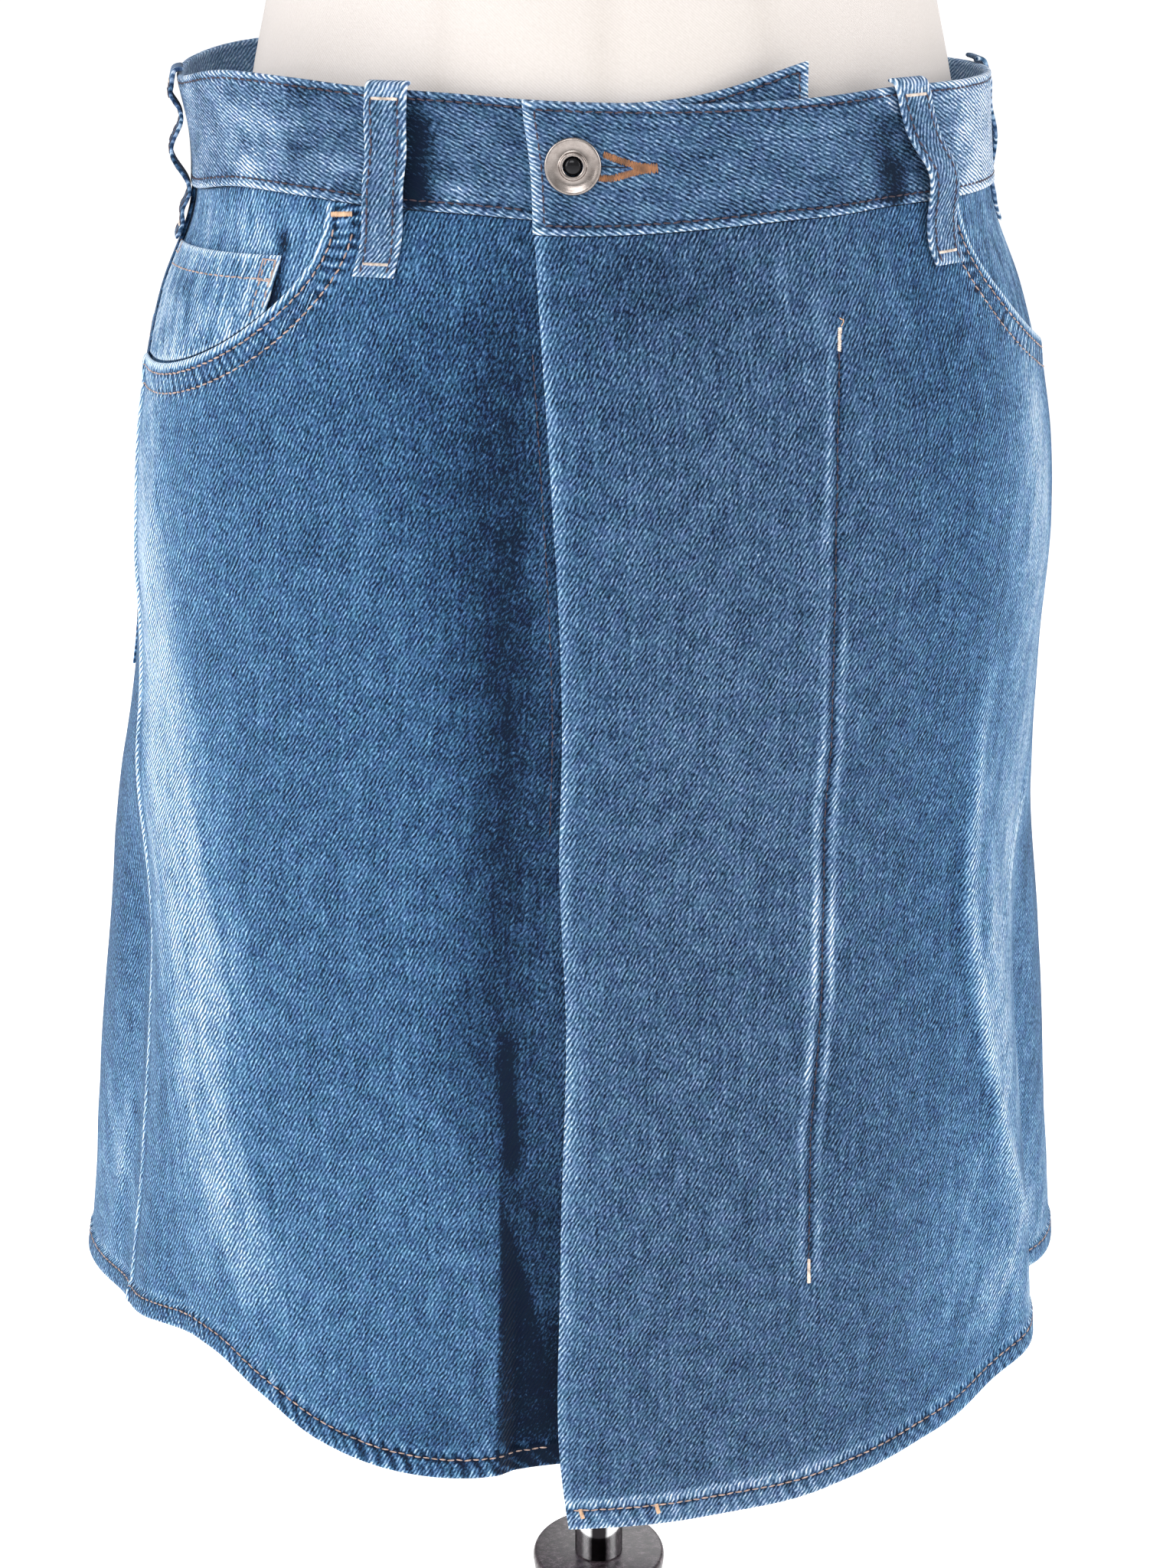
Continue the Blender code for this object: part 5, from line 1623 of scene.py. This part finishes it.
def makeStitches(name, material, stitches, seed):
    deselectAll()
    bpy.ops.mesh.primitive_uv_sphere_add(segments=stitch["sides"], ring_count=stitch["rings"], radius=1.0)
    piece = bpy.context.object
    base = readPoints(piece)
    copies = piece.modifiers.new("stitches", "ARRAY")
    copies.count = len(stitches)
    copies.use_relative_offset = False
    applyModifier(piece, "stitches")
    draw = np.random.default_rng(stitch["firstDraw"] + seed)
    points = np.zeros((len(stitches), len(base), 3))
    for index, (spot, along, side, normal, half, radius) in enumerate(stitches):
        lean = draw.uniform(-stitch["lean"], stitch["lean"])
        length = half * draw.uniform(*stitch["length"])
        sits = radius * (stitch["sits"] + draw.uniform(*stitch["sitsBy"]))
        along, side, normal = np.array(along) + lean * np.array(side), np.array(side), np.array(normal)
        axes = np.stack([side * radius * stitch["wide"], normal * radius * stitch["high"], along * length])
        points[index] = np.array(spot) + normal * sits + base @ axes
    setPoints(piece, points.reshape(-1, 3))
    faceOutwards(piece)
    bpy.ops.object.shade_smooth()
    return finishPiece(piece, name, materials=(material,))


def row(piece, line, pitch=sewing["pitch"], half=sewing["half"], radius=sewing["radius"]):
    return sewnRun(piece, line, pitch, half, radius)


def outlined(piece, corners, **stitches):  # rows from corner to corner
    runs = []
    for one, other in zip(corners[:-1], corners[1:]):
        runs += row(piece, [one, other], **stitches)
    return runs


def bar(piece, line, width):  # a bartack: close stitches across its line
    return sewnRun(piece, line, sewing["barPitch"], width / 2, sewing["barRadius"], across=True)


def hemLine(start, stop, over, front):
    column = np.linspace(start, stop, 120)
    depth = hemDepth(column, over) - sewing["hemUp"]
    angle = column + overDrift(column, depth) if over and front else column
    return np.stack([angle, depth], axis=1)


def mouthLine(over, away):
    sign = 1.0 if over else -1.0
    column = np.linspace(garment["mouthStart"], sideSeam, 200)
    depth = mouthDepth(sign * column, over)
    spot = np.stack([column * perDegree(depth), depth], axis=1)
    way = np.gradient(spot, axis=0)
    way = way / np.linalg.norm(way, axis=1, keepdims=True)
    across, depth = (spot + away * np.stack([-way[:, 1], way[:, 0]], axis=1)).T
    angle = across / perDegree(depth)
    kept = (angle < sideSeam - 0.4) & (depth > bandBottom(sign * angle, over) + 0.0012)
    return np.stack([sign * angle[kept], depth[kept]], axis=1)


def bandEdge(column, over, kind):  # depth of the waistband's upper or lower row
    if kind == "top":
        return bandTop(column, over) + sewing["bandTop"]
    return bandBottom(column, over) - sewing["bandLow"]


def bandLine(start, stop, over, kind):
    column = np.linspace(start, stop, 200)
    return np.stack([column, bandEdge(column, over, kind)], axis=1)


def bandEnd(angle, over):
    return [(angle, bandEdge(angle, over, kind)) for kind in ("top", "low")]


def upright(angle, top, low):
    return [(angle, top), (angle, low)]


# the bars and the loose thread on the fronts: lines of (angle, depth), and the bars' width across them
frontTacks = {
    "bar": 0.0017,
    "hem": (-16.6, -8.6),
    "hemBar": 0.0018,
    "hemReach": ((0.0, -0.0006), (0.3, 0.0036)),
    "threadEnd": [(17.5, 0.0772), (17.9, 0.0752), (17.4, 0.0742)],
    "mouthBar": 0.0022,
    "mouthUnder": [(-41.6, 0.0390), (-44.9, 0.0396)],
    "mouthOver": [(41.6, 0.0415), (44.6, 0.0412)],
}
edgeSewn = {"inside": 1.0, "top": 0.085, "low": 0.26}  # the under panel's row beside the over panel's edge


def sewFronts():
    under = row(frontUnder, hemLine(-89.6, -13.4, False, True))
    over = row(frontOver, hemLine(-17.3, 89.6, True, True))
    for away in sewing["mouthRows"]:
        under += row(frontUnder, mouthLine(False, away))
        over += row(frontOver, mouthLine(True, away))
    depth = np.linspace(edgeSewn["top"], edgeSewn["low"], 12)
    edge = np.stack([through(overLine, depth) - edgeSewn["inside"], depth], axis=1)
    fine = sewing["fineRadius"]
    dark = row(frontOver, overStitching[1:-1], radius=fine) + row(frontUnder, edge, radius=fine)
    tacks = bar(frontOver, overStitching[:2], frontTacks["bar"])
    tacks += bar(frontOver, overStitching[-2:], frontTacks["bar"])
    hemTacks = []
    for column in frontTacks["hem"]:
        angle, depth = hemLine(column, column, True, True)[0]
        line = [(angle + aside, depth + down) for aside, down in frontTacks["hemReach"]]
        hemTacks += bar(frontOver, line, frontTacks["hemBar"])
    hemTacks += row(frontOver, frontTacks["threadEnd"], pitch=0.0011, half=0.0008, radius=0.00024)
    mouthTacks = bar(frontUnder, frontTacks["mouthUnder"], frontTacks["mouthBar"])
    mouthTacks += bar(frontOver, frontTacks["mouthOver"], frontTacks["mouthBar"])
    return {
        "under": [makeStitches("sewing_front_under", "threadTan", under, 1)],
        "over": [
            makeStitches("sewing_front_over", "threadTan", over, 2),
            makeStitches("sewing_fronts_dark", "threadBrown", dark, 18),
            makeStitches("tacks_front_over", "threadPale", tacks, 3),
            makeStitches("tacks_hem", "threadPeach", hemTacks, 4),
            makeStitches("tacks_mouths", "threadPeach", mouthTacks, 5),
        ],
    }


def sewBackPocket(pocket, name, mirror):
    middle, half = backPocket["middle"], backPocket["half"]
    top, bottom = backPocket["top"] + 0.0005, backPocket["bottom"]
    runs = []
    for away in sewing["pocketRows"]:
        low = bottom - away * 1.1
        topSide = half - away / perDegree(top)
        lowSide = half * (1.0 - backPocket["taper"]) - away / perDegree(low)
        point = (0.0, low + backPocket["point"])
        corners = [(-topSide, top), (-lowSide, low), point, (lowSide, low), (topSide, top)]
        runs += outlined(pocket, [(mirror * (middle + aside), depth) for aside, depth in corners])
    topSide = half - sewing["pocketRows"][0] / perDegree(0.1)
    level = backPocket["top"] + sewing["pocketTop"]
    ends = [mirror * (middle - topSide), mirror * (middle + topSide)]
    runs += row(pocket, [(end, level) for end in ends])
    for end in ends:
        runs += bar(pocket, upright(end, backPocket["top"] + 0.0015, backPocket["top"] + 0.0085), 0.0024)
    return makeStitches(name, "threadTan", runs, 8 + mirror)


def sewBacks():
    left = row(backLeft, hemLine(-179.7, -90.4, False, False))
    right = row(backRight, hemLine(90.4, 179.7, True, False))
    depth = np.linspace(0.047, 0.505, 30)
    for away in sewing["seamRows"]:
        right += row(backRight, np.stack([backSeam - away / perDegree(depth), depth], axis=1))
    return {
        "left": [makeStitches("sewing_back_left", "threadTan", left, 6)],
        "right": [makeStitches("sewing_back_right", "threadTan", right, 7)],
        "leftPocket": [sewBackPocket(backPocketLeft, "sewing_back_pocket_left", -1)],
        "rightPocket": [sewBackPocket(backPocketRight, "sewing_back_pocket_right", 1)],
    }


buttonhole = {
    "arms": [  # the two sides, which meet in the bar at their ends
        [(-9.4, 0.0164), (-7.0, 0.0191), (-5.6, 0.0203), (-4.1, 0.0209)],
        [(-10.2, 0.0243), (-8.7, 0.0246), (-7.1, 0.0233), (-5.6, 0.0222), (-4.1, 0.0213)],
    ],
    "end": [(-6.2, 0.0214), (-3.3, 0.0211)],
    # the slit, drawn as dark stitches that stand in for the shade inside it
    "slit": [(-9.9, 0.0204), (-7.0, 0.0209)],
    "armStitch": (0.00055, 0.00135, 0.00036),  # pitch, half length, radius
    "endStitch": (0.00050, 0.0019, 0.00036),
    "slitStitch": (0.0012, 0.0010, 0.00030),
}


def sewBand():
    end = sewing["bandEnd"] / perDegree(0.02)
    overStart = garment["overEdge"] + end
    underStop = garment["underEdge"] - end
    over = row(bandOver, bandLine(overStart, 179.8, True, "top"))
    over += row(bandOver, bandLine(overStart, 179.8, True, "low"))
    over += row(bandOver, bandEnd(overStart, True))
    under = row(bandUnder, bandLine(-179.8, underStop, False, "top"))
    under += row(bandUnder, bandLine(-179.8, -19.2, False, "low"))
    under += row(bandUnder, bandEnd(underStop, False))
    hole = []
    for arm in buttonhole["arms"]:
        hole += sewnRun(bandOver, arm, *buttonhole["armStitch"], across=True)
    hole += sewnRun(bandOver, buttonhole["end"], *buttonhole["endStitch"], across=True)
    slit = sewnRun(bandOver, buttonhole["slit"], *buttonhole["slitStitch"])
    overRows = makeStitches("sewing_waistband_over", "threadBrown", over, 11)
    underRows = makeStitches("sewing_waistband_under", "threadBrown", under, 12)
    holeThread = makeStitches("buttonhole_thread", "threadOrange", hole, 13)
    holeSlit = makeStitches("buttonhole_slit", "slitShadeThread", slit, 14)
    return {"over": [overRows, holeThread, holeSlit], "under": [underRows]}


def sewCoinPocket():
    near = -coin["side"]
    column = np.linspace(-88.6, near - 0.4, 60)
    runs = row(coinPocket, np.stack([column, coinTop(column) + sewing["coinTop"]], axis=1))
    for away in sewing["coinRows"]:
        angle = near - away / perDegree(0.07)
        low = mouthDepth(angle, False) - 0.003
        runs += row(coinPocket, upright(angle, coin["top"] + 0.0012, low))
    top, low = coinTop(column[-1]) + 0.0018, coinTop(column[-1]) + 0.0092
    for start in (near - 0.6, -86.4):  # a small box at each end of the upper edge
        stop = start - 2.6
        box = [(start, top), (start, low), (stop, low), (stop, top), (start, top)]
        runs += outlined(coinPocket, box, pitch=0.0011, half=0.0008, radius=0.00030)
    return [makeStitches("sewing_coin_pocket", "threadTan", runs, 15)]


def sewLoops():
    runs = []
    tacks = []
    for name, piece in beltLoops.items():
        angle, over = loops["places"][name][0], loops["places"][name][4]
        half = loopHalf(angle)
        inside = half * (1.0 - sewing["loopSide"] / (loops["width"] / 2))
        top = bandTop(angle, over) + 0.0022
        depth = np.linspace(top, loops["end"] - 0.0012, 60)
        for aside in (-inside, inside):
            runs += row(piece, np.stack([loopTurn(name, depth) + aside, depth], axis=1))
        for level in (top + 0.0006, loops["end"] - 0.0046):
            middle = loopTurn(name, level)
            tacks += bar(piece, [(middle - half * 0.62, level), (middle + half * 0.62, level)], 0.0012)
    return [
        makeStitches("sewing_belt_loops", "threadBrown", runs, 16),
        makeStitches("tacks_belt_loops", "threadPale", tacks, 17),
    ]


sewnFronts = sewFronts()
sewnBacks = sewBacks()
sewnBand = sewBand()
sewnCoin = sewCoinPocket()
sewnLoops = sewLoops()
print("sewing done")

# ---- turned pieces: the button, the pole, the post and the base
turning = {"doubles": 0.000002, "smooth": 38.0}


def turnPiece(profile, segments, filled=True):  # profile of (radius, height), outwards from its start
    deselectAll()
    bpy.ops.mesh.primitive_circle_add(
        vertices=segments,
        radius=profile[0][0],
        fill_type="NGON" if filled else "NOTHING",
        location=(0.0, 0.0, profile[0][1]),
    )
    piece = bpy.context.object
    bpy.ops.object.transform_apply(location=True, rotation=False, scale=False)
    bpy.ops.object.mode_set(mode="EDIT")
    bpy.ops.mesh.select_all(action="SELECT")
    for (oldRadius, oldHeight), (radius, height) in zip(profile[:-1], profile[1:]):
        bpy.ops.mesh.extrude_region_move(TRANSFORM_OT_translate={"value": (0.0, 0.0, height - oldHeight)})
        ratio = radius / oldRadius
        bpy.ops.transform.resize(value=(ratio, ratio, 1.0), center_override=(0.0, 0.0, height))
    bpy.ops.mesh.select_all(action="SELECT")
    bpy.ops.mesh.remove_doubles(threshold=turning["doubles"])
    bpy.ops.mesh.normals_make_consistent(inside=False)
    bpy.ops.object.mode_set(mode="OBJECT")
    smoothTo(turning["smooth"])
    return piece


def smoothProfile(profile, between=3):  # rounds a profile's corners with a curve through its points
    length = runLength(np.array(profile))
    table = np.column_stack([length, profile])
    steps = [np.linspace(one, other, between + 1)[:-1] for one, other in zip(length[:-1], length[1:])]
    places = np.concatenate([*steps, length[-1:]])
    return list(zip(through(table, places, 1).tolist(), through(table, places, 2).tolist()))


button = {
    "angle": -13.0,
    "depth": 0.0202,
    "seat": garment["bandLap"] + garment["bandCloth"] + garment["gap"] + 0.0002,
    "segments": 96,
    "studSegments": 48,
    "ring": [
        (0.0035, 0.00002), (0.0035, 0.0018), (0.0038, 0.00205), (0.0042, 0.0021), (0.0046, 0.0019),
        (0.0049, 0.0014), (0.0053, 0.0012), (0.0075, 0.0015), (0.0084, 0.0019), (0.0090, 0.0021),
        (0.0094, 0.0020), (0.0098, 0.0015), (0.0096, 0.0007), (0.0086, 0.00001), (0.0035, 0.00002),
    ],
    "stud": [
        (0.0002, 0.0), (0.0031, 0.0), (0.0032, 0.0003), (0.0032, 0.0007), (0.0028, 0.0013), (0.0021, 0.0018),
        (0.0012, 0.0021), (0.0002, 0.0022),
    ],
}


def buttonPiece(profile, segments, filled, name, material):  # turned at the origin, then moved in its mesh
    piece = turnPiece(profile, segments, filled)
    place, outer = (
        Vector(skirtPoint(button["angle"], button["depth"], out).tolist())
        for out in (button["seat"], button["seat"] + 0.01)
    )
    turn = (outer - place).normalized().to_track_quat("Z", "Y").to_matrix().to_4x4()
    piece.data.transform(Matrix.Translation(place) @ turn)
    piece.data.update()
    return finishPiece(piece, name + "_metal", "button_metal", [name], materials=(material,))


ringProfile = button["ring"][:1] + smoothProfile(button["ring"][1:-1]) + button["ring"][-1:]
studProfile = button["stud"][:1] + smoothProfile(button["stud"][1:])
buttonPiece(ringProfile, button["segments"], False, "button_ring", "metal")
buttonPiece(studProfile, button["studSegments"], True, "button_stud", "darkMetal")

stand = {
    "postTop": 0.3585,
    "formBottom": 0.300,  # below the waist
    "poleRadius": 0.0110,
    "poleBevel": 0.0004,
    "poleSegments": 64,
    "postFoot": [  # radius, height over the base
        (0.0455, 0.0), (0.046, 0.0006), (0.042, 0.006), (0.030, 0.020), (0.024, 0.050),
    ],
    "postHead": [  # radius, height from the post's top
        (0.021, -0.200), (0.018, -0.100), (0.019, -0.050), (0.0222, -0.040), (0.0262, -0.028),
        (0.0292, -0.012), (0.0302, -0.005), (0.0304, -0.003), (0.0302, -0.0014), (0.0296, -0.0004),
        (0.0284, 0.0),
    ],
    "postSegments": 72,
    "base": [
        (0.232, 0.0), (0.234, 0.0015), (0.234, 0.006), (0.232, 0.010), (0.224, 0.017), (0.205, 0.022),
        (0.140, 0.0265), (0.075, 0.030), (0.030, 0.030),
    ],
    "baseSegments": 128,
}
poleLow = stand["postTop"] + garment["gap"]
poleHigh = garment["waistTop"] - stand["formBottom"] - garment["gap"]
bevel = stand["poleBevel"]
poleProfile = [
    (stand["poleRadius"] - bevel, poleLow),
    (stand["poleRadius"], poleLow + bevel),
    (stand["poleRadius"], poleHigh - bevel),
    (stand["poleRadius"] - bevel, poleHigh),
]
footLevel = stand["base"][-1][1] + garment["gap"]
postProfile = [(radius, footLevel + height) for radius, height in stand["postFoot"]]
postProfile += [(radius, stand["postTop"] + height) for radius, height in stand["postHead"]]
for name, look, slot, segments, profile in (
    ("stand_pole", "chrome", "chrome", stand["poleSegments"], poleProfile),
    ("stand_post", "wood", "dark_wood", stand["postSegments"], smoothProfile(postProfile)),
    ("stand_base", "wood", "dark_wood", stand["baseSegments"], smoothProfile(stand["base"])),
):
    finishPiece(turnPiece(profile, segments), name + "_" + look, slot, [name], materials=(look,))
print("button and stand turned")

# ---- the dress form
form = {
    "around": 96,
    "rings": 110,
    "armPlate": 0.157,  # half the width between the flat plates where the arms would be
    "seams": (0.0, 26.0, -26.0, 90.0, -90.0, 155.0, -155.0, 180.0),
    "seamDepth": 0.0004,
    "seamWidth": 0.0011,
    "seamDark": 0.10,
    "degree": 0.0023,  # metres of its cloth to a degree
    "smooth": 50.0,
}
formSections = np.array([  # height over the band's top, half width, reach to the front and to the back
    (-0.300, 0.148, 0.098, 0.104), (-0.250, 0.154, 0.103, 0.112), (-0.170, 0.158, 0.108, 0.118),
    (-0.100, 0.151, 0.1085, 0.114), (-0.045, 0.140, 0.1088, 0.1078), (0.000, 0.131, 0.1090, 0.1070),
    (0.040, 0.122, 0.1000, 0.0960), (0.085, 0.116, 0.0930, 0.0880), (0.150, 0.121, 0.0970, 0.0900),
    (0.220, 0.134, 0.1130, 0.0960), (0.262, 0.142, 0.1200, 0.0990), (0.300, 0.155, 0.1140, 0.1010),
    (0.340, 0.170, 0.0980, 0.0980), (0.378, 0.176, 0.0800, 0.0860), (0.402, 0.160, 0.0660, 0.0740),
    (0.422, 0.112, 0.0560, 0.0640), (0.440, 0.074, 0.0520, 0.0580), (0.465, 0.058, 0.0490, 0.0540),
    (0.500, 0.053, 0.0470, 0.0510),
])


def makeForm():
    deselectAll()
    bpy.ops.mesh.primitive_uv_sphere_add(segments=form["around"], ring_count=form["rings"], radius=1.0)
    piece = bpy.context.object
    ball = readPoints(piece)
    ring = np.rint((np.arcsin(np.clip(ball[:, 2], -1, 1)) / math.pi + 0.5) * form["rings"]).astype(int)
    heights = np.linspace(formSections[0, 0], formSections[-1, 0], form["rings"] - 1)
    height = heights[np.clip(ring - 1, 0, form["rings"] - 2)]
    angle = np.degrees(np.arctan2(ball[:, 0], -ball[:, 1]))
    turn = np.radians(angle)
    side, front, back = (through(formSections, height, column) for column in (1, 2, 3))
    reach = np.where(np.cos(turn) >= 0, front, back)
    groove = np.zeros(len(ball))
    for seam in form["seams"]:
        away = np.abs((angle - seam + 180.0) % 360.0 - 180.0) * degreeOfCloth["average"]
        groove = groove + bell(away, form["seamWidth"])
    pole = (ring == 0) | (ring == form["rings"])
    shrink = np.where(pole, 0.0, 1.0 - form["seamDepth"] * groove / np.maximum(side, 0.05))
    x = np.clip(side * np.sin(turn), -form["armPlate"], form["armPlate"]) * shrink
    y = -reach * np.cos(turn) * shrink
    setPoints(piece, np.stack([x, y, garment["waistTop"] + height], axis=1))
    setCloth(piece, angle * form["degree"], height)
    setNumber(piece, "wearAndShade", -form["seamDark"] * groove)
    smoothTo(form["smooth"])
    return finishPiece(piece, "form_body_cloth", "form_cloth", ["form_body"], materials=("formCloth",))


formBody = makeForm()
print("dress form laid")
# ---- the floor
deselectAll()
bpy.ops.mesh.primitive_plane_add(size=studio["floorSide"], location=(0.0, 0.0, 0.0))
floor = bpy.context.object
floor.name = "floor"
paper, paperShader = newMaterial("palePaper", studio["floorColor"], studio["floorRoughness"])
paperShader.inputs["Emission Color"].default_value = (1.0, 1.0, 1.0, 1.0)
paperShader.inputs["Emission Strength"].default_value = studio["floorGlow"]
floor.data.materials.append(paper)

print("done")
